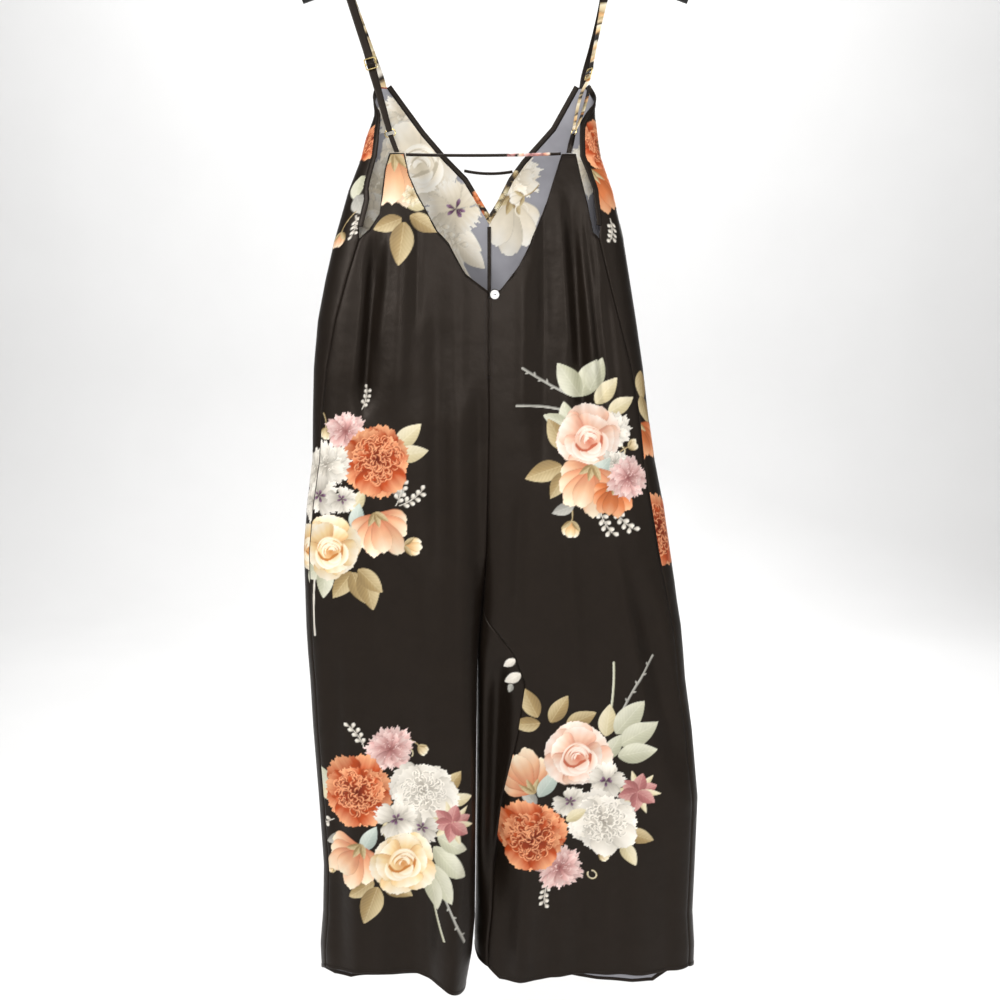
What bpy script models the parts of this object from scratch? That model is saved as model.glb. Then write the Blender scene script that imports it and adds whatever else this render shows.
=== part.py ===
# A strappy wide-leg romper that hangs from a plain clothes hanger, seen from the garment's back.
# Metres, +Z up. The origin is the inside top of the hanger's hook. -Y is the garment's back, +X the viewer's right.
# The tables below are in millimetres.

import math
from collections import namedtuple
from functools import lru_cache

import bmesh
import bpy
import numpy as np
from mathutils import Matrix, Vector

MM = 0.001

# Cloth
WALL = 1.2
SEAM_PULL = 0.45
BINDING_WIDTH = 4.7
BINDING_WALL = 2.0
BINDING_GAP = 0.8
SEWN_GAP = 0.3
UNDERARM_Z = -400.0
LEVEL_ZONE_TOP = -500.0
LEVEL_ZONE_FOOT = -1320.0
ROWS_ABOVE = 6
LEVEL_ROWS = 18
ROWS_BELOW = 3
CROTCH_Z = -872.0
INNER_ROUND = 26.0
OUTER_ROUND = 1.5
STAGGER_SHARE = 0.4
FOLD_FADE = 20.0
ALLOWANCE_WIDTH = 4.0
ALLOWANCE_WALL = 1.0
ALLOWANCE_CLEAR = 0.6
LOOP_SAMPLES = 160

# Straps, trimmings and hanger
STRAP_WIDTH = 10.0
STRAP_WALL = 1.0
ROULEAU_RADIUS = 1.9
RING_WIRE = 0.65
RING_WIDTH = 13.0
RING_HEIGHT = 8.0
SLIDER_WIDTH = 15.0
SLIDER_HEIGHT = 14.0
SLIDER_BAR = 1.3
TAB_WIDTH = 6.0
TAB_LIFT = 1.5
STRAP_TIP_WIDTH = 7.5
STRAP_TIP_LIFT = 1.9
STRAP_TAPER = 3.0
RETURN_GAP = 0.7
BUTTON_RADIUS = 5.75
BUTTON_THICK = 2.4
ARM_RADIUS = 5.0
ARM_REACH = 236.0
ARM_APEX_Z = -62.0
ARM_DROP = 52.0
ARM_POWER = 1.6
COLLAR_HEIGHT = 9.0
COLLAR_FOOT_RADIUS = 6.0
COLLAR_TOP_RADIUS = 4.2
HOOK_WIRE = 2.1
HOOK_ROUND = 18.0
SEAT = SEWN_GAP + STRAP_WALL / 2

# One row for each level section: the two side folds, the middle line, half the distance between the legs,
# half the depth of each side, the share of that depth at which front and back stay open at the middle,
# how far the front comes round each side fold, and how far the right leg's front comes round its inner fold.
Section = namedtuple(
    "Section",
    "z left_edge right_edge middle gap left_depth right_depth open_share left_wrap right_wrap inseam stagger",
)
SECTIONS = [
    Section(-190, -150, 124, -8, 0.3, 11, 11, 1.00, 34, 33, 0, 0),
    Section(-250, -150, 124, -8, 0.3, 15, 15, 1.00, 34, 33, 0, 0),
    Section(-278, -161, 128, -8, 0.3, 18, 18, 1.00, 34, 33, 0, 0),
    Section(-300, -167, 132, -8, 0.3, 20, 20, 1.00, 34, 33, 0, 0),
    Section(-340, -184, 147, -8, 0.3, 24, 24, 1.00, 34, 33, 0, 0),
    Section(-400, -203, 162, -8, 0.3, 28, 28, 1.00, 34, 33, 0, 0),
    Section(-450, -216, 171, -8, 0.3, 30, 30, 1.00, 30, 29, 0, 0),
    Section(-500, -227, 180, -8, 0.3, 32, 32, 1.00, 26, 24, 0, 0),
    Section(-560, -234, 190, -8, 0.3, 33, 33, 1.00, 20, 17, 0, 0),
    Section(-620, -237, 198, -8, 0.3, 34, 34, 1.00, 15, 14, 0, 0),
    Section(-680, -239, 208, -9, 0.3, 34, 34, 0.98, 12, 17, 0, 0),
    Section(-740, -248, 221, -10, 0.5, 34, 34, 0.90, 11, 19, 0, 0),
    Section(-800, -254, 231, -11, 0.8, 34, 33, 0.68, 10, 18, 0, 0),
    Section(-840, -254, 238, -14, 1.2, 34, 32, 0.38, 10, 16, 0, 0),
    Section(-872, -254, 243, -17, 1.8, 34, 32, 0.05, 10, 14, 0, 0),
    Section(-905, -254, 249, -21, 2.0, 34, 31, 0.00, 10, 13, 40, 2),
    Section(-940, -253, 253, -24, 2.0, 34, 30, 0.00, 10, 12, 68, 5),
    Section(-980, -251, 257, -25, 2.2, 34, 29, 0.00, 10, 12, 84, 9),
    Section(-1050, -249, 268, -26, 2.5, 35, 28, 0.00, 10, 11, 76, 14),
    Section(-1150, -244, 279, -27, 2.5, 37, 27, 0.00, 10, 10, 56, 18),
    Section(-1250, -240, 278, -28, 2.5, 39, 26, 0.00, 10, 10, 45, 19),
    Section(-1320, -243, 277, -29, 3.0, 40, 26, 0.00, 10, 10, 42, 20),
    Section(-1370, -248, 281, -32, 4.0, 40, 26, 0.00, 10, 10, 38, 20),
    Section(-1470, -246, 281, -39, 12.0, 40, 26, 0.00, 10, 10, 34, 20),
]
SECTION_HEIGHTS = np.array([row.z for row in reversed(SECTIONS)], float)
SECTION_VALUES = {
    field: np.array([getattr(row, field) for row in reversed(SECTIONS)], float)
    for field in Section._fields
}

# One row for each large fold: which sheet it lies on, its line from top to foot, how far it stands out
# (or in, where negative) and half its width. The viewer's side is near, the garment's front is far.
Fold = namedtuple("Fold", "sheet top_x top_z foot_x foot_z height half_width")
FOLDS = [
    Fold("near", -142, -380, -170, -640, -9, 13),
    Fold("near", -112, -330, -128, -640, 5, 15),
    Fold("near", -72, -410, -70, -860, -5, 17),
    Fold("near", 62, -360, 63, -720, -6, 15),
    Fold("near", 92, -330, 118, -690, -11, 10),
    Fold("near", 112, -400, 142, -760, 5, 12),
    Fold("near", -20, -560, -22, -900, -6, 11),
    Fold("near", -52, -520, -50, -1000, 4, 14),
    Fold("near", -212, -820, -218, -1480, -7, 13),
    Fold("near", -110, -900, -122, -1480, -8, 24),
    Fold("near", -62, -1150, -66, -1520, 14, 24),
    Fold("near", 178, -800, 262, -1150, -10, 15),
    Fold("near", 60, -960, 30, -1500, 10, 17),
    Fold("near", 110, -930, 120, -1500, -7, 22),
    Fold("near", 190, -1120, 205, -1500, 6, 20),
    Fold("near", 2, -900, -8, -1300, -9, 12),
    Fold("far", -120, -360, -150, -760, -7, 16),
    Fold("far", -50, -420, -60, -1000, 6, 18),
    Fold("far", 60, -380, 80, -800, -7, 15),
    Fold("far", 130, -520, 170, -1050, 6, 16),
    Fold("far", -190, -820, -200, -1500, 6, 18),
    Fold("far", -110, -980, -100, -1500, -8, 20),
    Fold("far", 50, -900, 40, -1500, 7, 18),
    Fold("far", 130, -950, 150, -1500, -7, 20),
    Fold("far", 220, -1050, 225, -1500, 5, 16),
]

# One row for each panel: its sheet and side, the arcs of its grid's columns at the underarm, counted from
# the middle seam, the arcs of its strap tip, its top edge and its hem as arc or share of arc against height.
Panel = namedtuple("Panel", "name sheet side columns tip top hem")
PANELS = {
    panel.name: panel
    for panel in [
        Panel(
            "back_left", "near", -1,
            [0, 14, 28, 42, 56, 70, 84, 95, 104, 122, 128, 135, 148, 161],
            (104, 122),
            [(0, -465), (27, -443), (49, -406), (64, -391), (89, -345), (99, -322), (104, -297),
             (122, -297), (128, -316), (135, -370), (148, -389), (161, -400)],
            [(0.0, -1424), (0.12, -1417), (0.25, -1404), (0.4, -1396), (0.75, -1393), (1.0, -1396)],
        ),
        Panel(
            "back_right", "near", 1,
            [0, 12, 24, 36, 51, 63, 73, 82, 91, 108, 115, 123, 130, 138],
            (91, 108),
            [(0, -467), (13, -463), (36, -433), (51, -407), (63, -380), (73, -355), (82, -326), (91, -298),
             (108, -298), (115, -328), (123, -358), (130, -392), (138, -400)],
            [(0.0, -1403), (0.06, -1418), (0.16, -1417), (0.4, -1408), (0.6, -1404), (0.85, -1402), (1.0, -1398)],
        ),
        Panel(
            "front_left", "far", -1,
            [0, 20, 40, 60, 80, 100, 119, 128, 138, 147, 160, 173, 179, 184, 193, 201, 209, 217, 230, 241],
            (119, 128),
            [(0, -376), (30, -325), (55, -299), (80, -269), (100, -241), (119, -214), (128, -214),
             (147, -246), (160, -262), (173, -280), (184, -303), (201, -330), (217, -352), (230, -384), (241, -400)],
            [(0.0, -1424), (0.2, -1440), (0.5, -1448), (0.72, -1450), (0.81, -1436), (0.9, -1412), (1.0, -1396)],
        ),
        Panel(
            "front_right", "far", 1,
            [0, 18, 36, 54, 72, 90, 105, 114, 123, 134, 144, 155, 160, 165, 171, 177, 184, 191, 202, 216],
            (105, 114),
            [(0, -377), (14, -354), (28, -325), (43, -304), (78, -264), (105, -214), (114, -214),
             (134, -240), (155, -262), (165, -287), (177, -318), (191, -350), (202, -378), (216, -400)],
            [(0.0, -1403), (0.05, -1398), (0.1, -1385), (0.2, -1416), (0.5, -1441), (0.7, -1451), (0.78, -1450),
             (0.86, -1424), (0.93, -1407), (1.0, -1398)],
        ),
    ]
}


def at_height(field, z):
    """The table's value of one column at height z."""
    return float(np.interp(z, SECTION_HEIGHTS, SECTION_VALUES[field]))


def smooth_step(t):
    t = np.clip(t, 0.0, 1.0)
    return t * t * (3.0 - 2.0 * t)


def side_name(side):
    return "left" if side < 0 else "right"


def round_end(distance, length):
    """Rises from 0 to 1 over a length, like the quarter of an ellipse."""
    left = np.clip(1.0 - distance / length, 0.0, 1.0)
    return np.sqrt(1.0 - left * left)


@lru_cache(maxsize=None)
def section_loop(side, z):
    """Points of one half's level section, from the middle along the near sheet, round the side fold and back
    along the far sheet, with the length along them."""
    edge = at_height(side_name(side) + "_edge", z)
    middle = at_height("middle", z) + side * at_height("gap", z)
    width = abs(edge - middle)
    depth = at_height(side_name(side) + "_depth", z)
    share = at_height("open_share", z)
    outer = min(OUTER_ROUND * depth, 0.45 * width)
    across = width * (0.5 - 0.5 * np.cos(np.linspace(0.0, math.pi, LOOP_SAMPLES)))
    profile = (share + (1.0 - share) * round_end(across, INNER_ROUND)) * round_end(width - across, outer)
    lean = side * at_height("stagger", z) * np.clip(1.0 - across / (STAGGER_SHARE * width), 0.0, 1.0) ** 2
    x = middle + side * across
    near = np.column_stack([x, lean - depth * profile])
    far = np.column_stack([x, lean + depth * profile])[::-1]
    loop = np.vstack([near, far[1:]])
    steps = np.hypot(*np.diff(loop, axis=0).T)
    return loop, np.concatenate([[0.0], np.cumsum(steps)])


def fold_push(sheet, x, z):
    """How far the folds push a point of a sheet outwards, away from the hollow."""
    push = 0.0
    for fold in FOLDS:
        if fold.sheet != sheet or not fold.foot_z < z < fold.top_z:
            continue
        share = (fold.top_z - z) / (fold.top_z - fold.foot_z)
        line = fold.top_x + share * (fold.foot_x - fold.top_x)
        along = smooth_step(share / 0.3) * smooth_step((1.0 - share) / 0.25)
        push += fold.height * along * math.exp(-(((x - line) / fold.half_width) ** 2))
    return push


def loop_point(side, z, along):
    """The point at a length along one half's section, in millimetres, with its folds."""
    loop, lengths = section_loop(side, round(z, 4))
    total = lengths[-1]
    if along > total:
        along -= total
    elif along < 0.0:
        along += total
    x = float(np.interp(along, lengths, loop[:, 0]))
    y = float(np.interp(along, lengths, loop[:, 1]))
    ends = min(along, total - along, abs(along - total / 2))
    soft = 1.0 if z > CROTCH_Z else float(smooth_step(ends / FOLD_FADE))
    if along < total / 2:
        y -= soft * fold_push("near", x, z)
    else:
        y += soft * fold_push("far", x, z)
    return Vector((x, y, z))


def side_seam(side, z):
    """The length along the near sheet at which back and front meet at the side."""
    loop, lengths = section_loop(side, round(z, 4))
    edge = at_height(side_name(side) + "_edge", z)
    wrap = at_height(side_name(side) + "_wrap", z)
    across = abs(loop[:LOOP_SAMPLES, 0] - loop[0, 0])
    return float(np.interp(abs(edge - loop[0, 0]) - wrap, across, lengths[:LOOP_SAMPLES]))


def panel_span(panel, z):
    """Where a panel's inner and outer edges lie along the section at height z."""
    total = section_loop(panel.side, round(z, 4))[1][-1]
    seam = side_seam(panel.side, z)
    inseam = at_height("inseam", z) if panel.side > 0 else 0.0
    if panel.sheet == "near":
        return inseam, seam
    return total + inseam, seam


def panel_point(panel, arc, z):
    """The point of a panel whose column has this arc at the underarm, at height z."""
    inner = panel_span(panel, z)[0]
    start, finish = panel_span(panel, min(z, UNDERARM_Z))
    away = 1.0 if panel.sheet == "near" else -1.0
    room = abs(finish - start)
    length = max(arc / panel.columns[-1] * room, SEAM_PULL)
    if z <= UNDERARM_Z:
        length = min(length, room - SEAM_PULL)
    return loop_point(panel.side, z, inner + away * length)


def table_height(rows, at):
    return float(np.interp(at, [row[0] for row in rows], [row[1] for row in rows]))


def panel_grid(panel):
    """Rows of points, from the top edge to the hem. The middle rows are level, so that neighbours share heights."""
    level = np.linspace(LEVEL_ZONE_TOP, LEVEL_ZONE_FOOT, LEVEL_ROWS + 1)
    level[np.argmin(abs(level - CROTCH_Z))] = CROTCH_Z
    columns = []
    for arc in panel.columns:
        top = table_height(panel.top, arc)
        foot = table_height(panel.hem, arc / panel.columns[-1])
        above = top + (level[0] - top) * np.arange(ROWS_ABOVE) / ROWS_ABOVE
        below = level[-1] + (foot - level[-1]) * np.arange(1, ROWS_BELOW + 1) / ROWS_BELOW
        heights = np.concatenate([above, level, below])
        columns.append([panel_point(panel, arc, float(z)) for z in heights])
    return [list(row) for row in zip(*columns)]


def material(name, colour, roughness, metallic=0.0):
    made = bpy.data.materials.new(name)
    made.use_nodes = True
    shader = made.node_tree.nodes["Principled BSDF"]
    shader.inputs["Base Color"].default_value = (*colour, 1.0)
    shader.inputs["Roughness"].default_value = roughness
    shader.inputs["Metallic"].default_value = metallic
    return made


def add_object(name, data, surface):
    made = bpy.data.objects.new(name, data)
    made.data.materials.append(surface)
    bpy.data.collections["romper"].objects.link(made)
    return made


def add_sheet(name, rows, wall, surface):
    """A grid of points in millimetres as an open surface, thickened on both sides."""
    mesh = bpy.data.meshes.new(name)
    count = len(rows[0])
    points = [Vector(point) * MM for row in rows for point in row]
    quads = [
        (r * count + c, r * count + c + 1, (r + 1) * count + c + 1, (r + 1) * count + c)
        for r in range(len(rows) - 1)
        for c in range(count - 1)
    ]
    mesh.from_pydata(points, [], quads)
    mesh.shade_smooth()
    made = add_object(name, mesh, surface)
    thick = made.modifiers.new("wall", "SOLIDIFY")
    thick.thickness = wall * MM
    thick.offset = 0.0
    return made


def add_tube(name, points, radius, surface, sides=2, closed=False):
    """A wire or cord through points in millimetres."""
    curve = bpy.data.curves.new(name, "CURVE")
    curve.dimensions = "3D"
    curve.bevel_depth = radius * MM
    curve.bevel_resolution = sides
    curve.use_fill_caps = not closed
    spline = curve.splines.new("POLY")
    spline.points.add(len(points) - 1)
    for target, point in zip(spline.points, points):
        target.co = (*(Vector(point) * MM), 1.0)
    spline.use_cyclic_u = closed
    return add_object(name, curve, surface)


def smooth_path(knots, per_span):
    """A Catmull-Rom curve through rows of numbers."""
    knots = np.array(knots, float)
    padded = np.vstack([2 * knots[0] - knots[1], knots, 2 * knots[-1] - knots[-2]])
    path = []
    for a, b, c, d in zip(padded[:-3], padded[1:-2], padded[2:-1], padded[3:]):
        for t in np.arange(per_span) / per_span:
            path.append(
                0.5 * (2 * b + (c - a) * t + (2 * a - 5 * b + 4 * c - d) * t**2 + (3 * b - a - 3 * c + d) * t**3)
            )
    path.append(knots[-1])
    return np.array(path)


def ribbon_rows(rows):
    """A flat ribbon along rows of a point, the direction of its width there, and that width."""
    return [
        [point - across.normalized() * width / 2, point, point + across.normalized() * width / 2]
        for point, across, width in rows
    ]


def turned_width(reference, run, degrees):
    """The direction across a run that lies nearest to the reference, turned about the run."""
    run = run.normalized()
    flat = (reference - reference.dot(run) * run).normalized()
    turn = math.radians(degrees)
    return math.cos(turn) * flat + math.sin(turn) * run.cross(flat)


def add_panels(cloth):
    grids = {}
    for name, panel in PANELS.items():
        grids[name] = panel_grid(panel)
        add_sheet(name, grids[name], WALL, cloth)
    return grids


def binding_rows(grid, first, last, mitred):
    """A strip outside a panel's top edge, from one column to another, in the panel's own surface."""
    edge = grid[0][first : last + 1]
    below = grid[1][first : last + 1]
    rows = []
    for index, (point, under) in enumerate(zip(edge, below)):
        before = edge[max(index - 1, 0)]
        after = edge[min(index + 1, len(edge) - 1)]
        along = (after - before).normalized()
        out = point - under
        out = (out - out.dot(along) * along).normalized()
        if mitred and index == 0:
            out = Vector((0.0, 0.0, 1.0 / out.z))
        rows.append([point + out * BINDING_GAP, point + out * (BINDING_GAP + BINDING_WIDTH)])
    return rows


def add_bindings(grids, trim):
    for side in ("left", "right"):
        panel = PANELS["front_" + side]
        grid = grids["front_" + side]
        inner = panel.columns.index(panel.tip[0])
        outer = panel.columns.index(panel.tip[1])
        last = len(panel.columns) - 1
        add_sheet("neck_binding_" + side, binding_rows(grid, 0, inner, True), BINDING_WALL, trim)
        add_sheet("armhole_binding_" + side, binding_rows(grid, outer, last - 1, False), BINDING_WALL, trim)


def arm_height(x):
    return ARM_APEX_Z - ARM_DROP * (abs(x) / ARM_REACH) ** ARM_POWER


def arm_direction(x):
    """Unit vector along the hanger's arm at x, towards +X."""
    step = 1.0
    return Vector((2 * step, 0.0, arm_height(x + step) - arm_height(x - step))).normalized()


def over_arm(x):
    """Ribbon rows round the top of the arm, from the far side to the near side."""
    axis = arm_direction(x)
    lift = Vector((-axis.z, 0.0, axis.x))
    reach = ARM_RADIUS + SEAT
    rows = []
    for angle in np.linspace(-10.0, 190.0, 11):
        turn = math.radians(float(angle))
        point = Vector((x, 0.0, arm_height(x))) + reach * (math.sin(turn) * lift + math.cos(turn) * Vector((0, 1, 0)))
        rows.append((point, axis, STRAP_WIDTH))
    return rows


# One row for each side: where the strap crosses the arm, the middle of the slider and of the ring on the
# near side, how far each stretch is twisted, and how far its doubled layers bow apart.
StrapRoute = namedtuple("StrapRoute", "side arm_x slider ring near_twist far_twist spread")
STRAP_ROUTES = [
    StrapRoute(-1, -182.0, (-152.0, -13.0, -191.0), (-129.0, -21.5, -273.5), 0.0, 0.0, 0.6),
    StrapRoute(1, 139.0, (116.0, -12.0, -203.0), (97.0, -19.0, -271.5), 68.0, 50.0, 2.6),
]


# How a strap's twist grows along its far and near stretches, as shares of the stretch and of the twist, its
# way through the slider in half slider heights, each on the near (1) or far (-1) face of a bar, and the
# shares of its doubled stretch at which the layer that goes down and the layer that comes back have rows.
FAR_TURNS = [(0.12, 0.3), (0.35, 0.9), (0.6, 1.0), (0.85, 0.5)]
NEAR_TURNS = [(0.25, 0.4), (0.5, 0.8), (0.75, 1.0)]
SLIDER_ENTRY = 2.2
WEAVE = [(-1.05, -1), (-0.74, -1), (-0.22, 1), (0.22, 1), (0.74, -1), (1.05, -1), (1.6, -0.3)]
DOWN_SHARES = [0.35, 0.6, 0.85]
BACK_SHARES = [0.85, 0.6, 0.35, 0.2]
TAB_SHARES = [0.25, 0.5, 0.75, 1.0]


def trim_frame(route):
    """The three directions of a strap's hardware: along its bars, down the strap, and towards the viewer."""
    down = (Vector(route.ring) - Vector(route.slider)).normalized()
    bars = turned_width(arm_direction(route.arm_x), down, route.near_twist)
    return bars, down, down.cross(bars)


def tip_point(name, lift):
    """The middle of a panel's strap tip, a little above its top edge."""
    panel = PANELS[name]
    arc = sum(panel.tip) / 2
    top = table_height(panel.top, arc)
    point = panel_point(panel, arc, top)
    return point + Vector((0.0, 0.0, lift))


def add_strap(route, surface):
    """One strap: from the front's tip over the arm, through the slider, round the ring and back up."""
    bars, down, front = trim_frame(route)
    arm = arm_direction(route.arm_x)
    slider = Vector(route.slider)
    side = side_name(route.side)
    start = tip_point("front_" + side, STRAP_TIP_LIFT)
    over = over_arm(route.arm_x)
    rise = over[0][0] - start
    rows = [(start, arm, STRAP_TIP_WIDTH)]
    for share, turn in FAR_TURNS:
        rows.append((start + rise * share, turned_width(arm, rise, route.far_twist * turn), STRAP_WIDTH))
    rows += over
    weave = SLIDER_BAR / 2 + SEAT
    bar_round = RING_WIRE + SEAT
    reach = SLIDER_HEIGHT / 2
    gate = slider + bar_round * front
    entry = gate - SLIDER_ENTRY * reach * down
    drop = entry - over[-1][0]
    for share, turn in NEAR_TURNS:
        rows.append((over[-1][0] + drop * share, turned_width(arm, drop, route.near_twist * turn), STRAP_WIDTH))
    rows.append((entry, bars, STRAP_WIDTH))
    for along, face in WEAVE:
        rows.append((gate + along * reach * down + face * weave * front, bars, STRAP_WIDTH))
    bar = Vector(route.ring) - RING_HEIGHT / 2 * down
    span = bar - slider
    for share in DOWN_SHARES:
        bow = bar_round + route.spread * math.sin(math.pi * share)
        rows.append((slider + span * share + bow * front, bars, STRAP_WIDTH - STRAP_TAPER * share))
    for angle in np.linspace(0.0, 180.0, 7):
        turn = math.radians(float(angle))
        rows.append((bar + bar_round * (math.cos(turn) * front + math.sin(turn) * down), bars, TAB_WIDTH + 1.0))
    for share in BACK_SHARES:
        bow = bar_round + RETURN_GAP + route.spread * math.sin(math.pi * share)
        rows.append((slider + span * share - bow * front, bars, STRAP_WIDTH - STRAP_TAPER * share))
    add_sheet("strap_" + side, ribbon_rows(rows), STRAP_WALL, surface)


def rounded_box(width, height, corner, steps):
    """Points of a rectangle with round corners, about its own middle."""
    points = []
    for quarter, (sx, sy) in enumerate(((1, 1), (-1, 1), (-1, -1), (1, -1))):
        for step in range(steps + 1):
            turn = math.pi / 2 * (quarter + step / steps)
            x = sx * (width / 2 - corner) + corner * math.cos(turn)
            y = sy * (height / 2 - corner) + corner * math.sin(turn)
            points.append((x, y))
    return points


def add_ring(route, surface):
    """An oval ring whose straight bars carry the strap above and the tab below."""
    bars, down, _front = trim_frame(route)
    ring = Vector(route.ring)
    outline = rounded_box(RING_WIDTH, RING_HEIGHT, RING_HEIGHT * 0.42, 4)
    points = [ring + x * bars - y * down for x, y in outline]
    add_tube("ring_" + side_name(route.side), points, RING_WIRE, surface, closed=True)


def add_slider(route, surface):
    """A flat frame with two windows and a middle bar."""
    bars, down, front = trim_frame(route)
    outlines = [(rounded_box(SLIDER_WIDTH, SLIDER_HEIGHT, 2.2, 4), 0.0)]
    window_width = SLIDER_WIDTH - 2 * SLIDER_BAR
    window_height = (SLIDER_HEIGHT - 3 * SLIDER_BAR) / 2
    offset = (window_height + SLIDER_BAR) / 2
    for shift in (-offset, offset):
        outlines.append((rounded_box(window_width, window_height, 1.2, 3), shift))
    name = "slider_" + side_name(route.side)
    curve = bpy.data.curves.new(name, "CURVE")
    curve.dimensions = "2D"
    curve.fill_mode = "BOTH"
    curve.extrude = SLIDER_BAR / 2 * MM
    for outline, shift in outlines:
        spline = curve.splines.new("POLY")
        spline.points.add(len(outline) - 1)
        for target, (x, y) in zip(spline.points, outline):
            target.co = (x * MM, (y + shift) * MM, 0.0, 1.0)
        spline.use_cyclic_u = True
    made = add_object(name, curve, surface)
    turn = Matrix((bars, -down, front)).transposed().to_4x4()
    place = (Vector(route.slider) + (RING_WIRE + SEAT) * front) * MM
    made.matrix_world = Matrix.Translation(place) @ turn


def add_tab(route, surface):
    """The tip's loop round the ring's lower bar."""
    bars, down, _front = trim_frame(route)
    side = side_name(route.side)
    bar = Vector(route.ring) + RING_HEIGHT / 2 * down
    run = tip_point("back_" + side, TAB_LIFT) - bar
    reach = RING_WIRE + SEAT
    layer = STRAP_WALL / 2 + SEWN_GAP
    level = Vector((1.0, 0.0, 0.0))
    legs = []
    for share in TAB_SHARES:
        width = bars.lerp(level, share).normalized()
        apart = (reach + (layer - reach) * share) * width.cross(run).normalized()
        legs.append((bar + run * share, width, apart))
    out = bars.cross(run).normalized()
    below = out.cross(bars)
    rows = [(point + apart, width, TAB_WIDTH) for point, width, apart in reversed(legs)]
    for angle in np.linspace(0.0, 180.0, 9):
        turn = math.radians(float(angle))
        rows.append((bar + reach * (math.cos(turn) * out - math.sin(turn) * below), bars, TAB_WIDTH))
    rows += [(point - apart, width, TAB_WIDTH) for point, width, apart in legs]
    add_sheet("tab_" + side, ribbon_rows(rows), STRAP_WALL, surface)


# One row for each cord between the two halves: its panels' sheet, its two ends and how far it sags.
CrossStrap = namedtuple("CrossStrap", "name sheet left right sag")
CROSS_STRAPS = [
    CrossStrap("back_cross_strap", "near", (-110.0, -298.5), (81.0, -297.5), 1.5),
    CrossStrap("front_cross_strap", "far", (-39.5, -313.0), (22.0, -314.0), 3.0),
]


def add_cross_strap(row, surface):
    ends = [loop_end(row.sheet, -1, row.left), loop_end(row.sheet, 1, row.right)]
    points = []
    for share in np.linspace(0.0, 1.0, 13):
        point = ends[0].lerp(ends[1], float(share))
        points.append(point - Vector((0.0, 0.0, 4 * row.sag * share * (1 - share))))
    add_tube(row.name, points, ROULEAU_RADIUS, surface, sides=2)


def loop_end(sheet, side, place):
    """A point of one sheet, given by its x and z."""
    x, z = place
    loop, _lengths = section_loop(side, z)
    half = loop[:LOOP_SAMPLES] if sheet == "near" else loop[LOOP_SAMPLES - 1 :][::-1]
    across = abs(half[:, 0] - half[0, 0])
    y = float(np.interp(abs(x - half[0, 0]), across, half[:, 1]))
    return Vector((x, y, z))


# The button at the foot of the back neckline: its centre, how far it stands off the cloth, its profile as
# shares of radius and thickness, its two holes and the cord of its loop.
BUTTON_AT = (-0.5, -468.5)
BUTTON_CLEAR = 1.6
BUTTON_PROFILE = [
    (0.0, 0.0), (0.75, 0.0), (0.93, 0.12), (1.0, 0.4), (0.97, 0.85), (0.86, 1.0), (0.74, 0.95), (0.62, 0.72),
    (0.0, 0.66),
]
BUTTON_STEPS = 24
HOLE_SHIFT = 1.1
HOLE_RADIUS = 0.7
LOOP_CORD = 0.6
BACK_SEAM_X = -7.0


def add_button(shell, cord):
    x, z = BUTTON_AT
    face = loop_end("near", 1, (max(x, BACK_SEAM_X), z))
    face.x = x
    mesh = bpy.data.meshes.new("button")
    form = bmesh.new()
    corners = [
        form.verts.new((r * BUTTON_RADIUS * MM, 0.0, h * BUTTON_THICK * MM)) for r, h in reversed(BUTTON_PROFILE)
    ]
    for first, second in zip(corners, corners[1:]):
        form.edges.new((first, second))
    form.to_mesh(mesh)
    form.free()
    mesh.shade_smooth()
    button = add_object("button", mesh, shell)
    turned = button.modifiers.new("turned", "SCREW")
    turned.steps = BUTTON_STEPS
    turned.render_steps = BUTTON_STEPS
    turned.use_merge_vertices = True
    turned.merge_threshold = 0.00001
    button.matrix_world = Matrix.Translation((face - Vector((0, BUTTON_CLEAR, 0))) * MM) @ Matrix.Rotation(
        math.pi / 2, 4, "X"
    )
    for shift in (-HOLE_SHIFT, HOLE_SHIFT):
        bpy.ops.mesh.primitive_cylinder_add(
            vertices=10, radius=HOLE_RADIUS * MM, depth=5 * BUTTON_THICK * MM,
            location=(face + Vector((shift, 0.0, 0.0))) * MM, rotation=(math.pi / 2, 0.0, 0.0),
        )
        hole = bpy.context.object
        hole.name = "button_hole_cutter"
        hole.hide_render = True
        hole.display_type = "WIRE"
        cut = button.modifiers.new("hole", "BOOLEAN")
        cut.operation = "DIFFERENCE"
        cut.object = hole
    reach = BUTTON_RADIUS + SEWN_GAP + LOOP_CORD
    depth = face.y - BUTTON_CLEAR
    points = []
    for angle in np.linspace(200.0, -20.0, 15):
        turn = math.radians(float(angle))
        points.append(Vector((x + reach * math.cos(turn), depth, z + reach * math.sin(turn))))
    points.insert(0, Vector((points[0].x - 1.5, depth, z - 4.5)))
    add_tube("button_loop", points[:11], LOOP_CORD, cord, sides=1)


def add_seam_allowance(surface):
    """The turned allowance of the front's middle seam, inside, below the neckline."""
    rows = []
    for z in np.linspace(-382.0, -700.0, 14):
        row = []
        for side in (-1, 1):
            total = section_loop(side, round(float(z), 4))[1][-1]
            point = loop_point(side, float(z), total - ALLOWANCE_WIDTH / 2)
            row.append(point - Vector((0.0, WALL / 2 + SEWN_GAP + ALLOWANCE_CLEAR, 0.0)))
        rows.append(row)
    add_sheet("front_seam_allowance", rows, ALLOWANCE_WALL, surface)


# The hook's wire above the collar: sideways shift and rise, before its round part.
HOOK_NECK = [(0.0, 0.0), (0.0, 3.0), (2.1, 10.9)]


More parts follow.
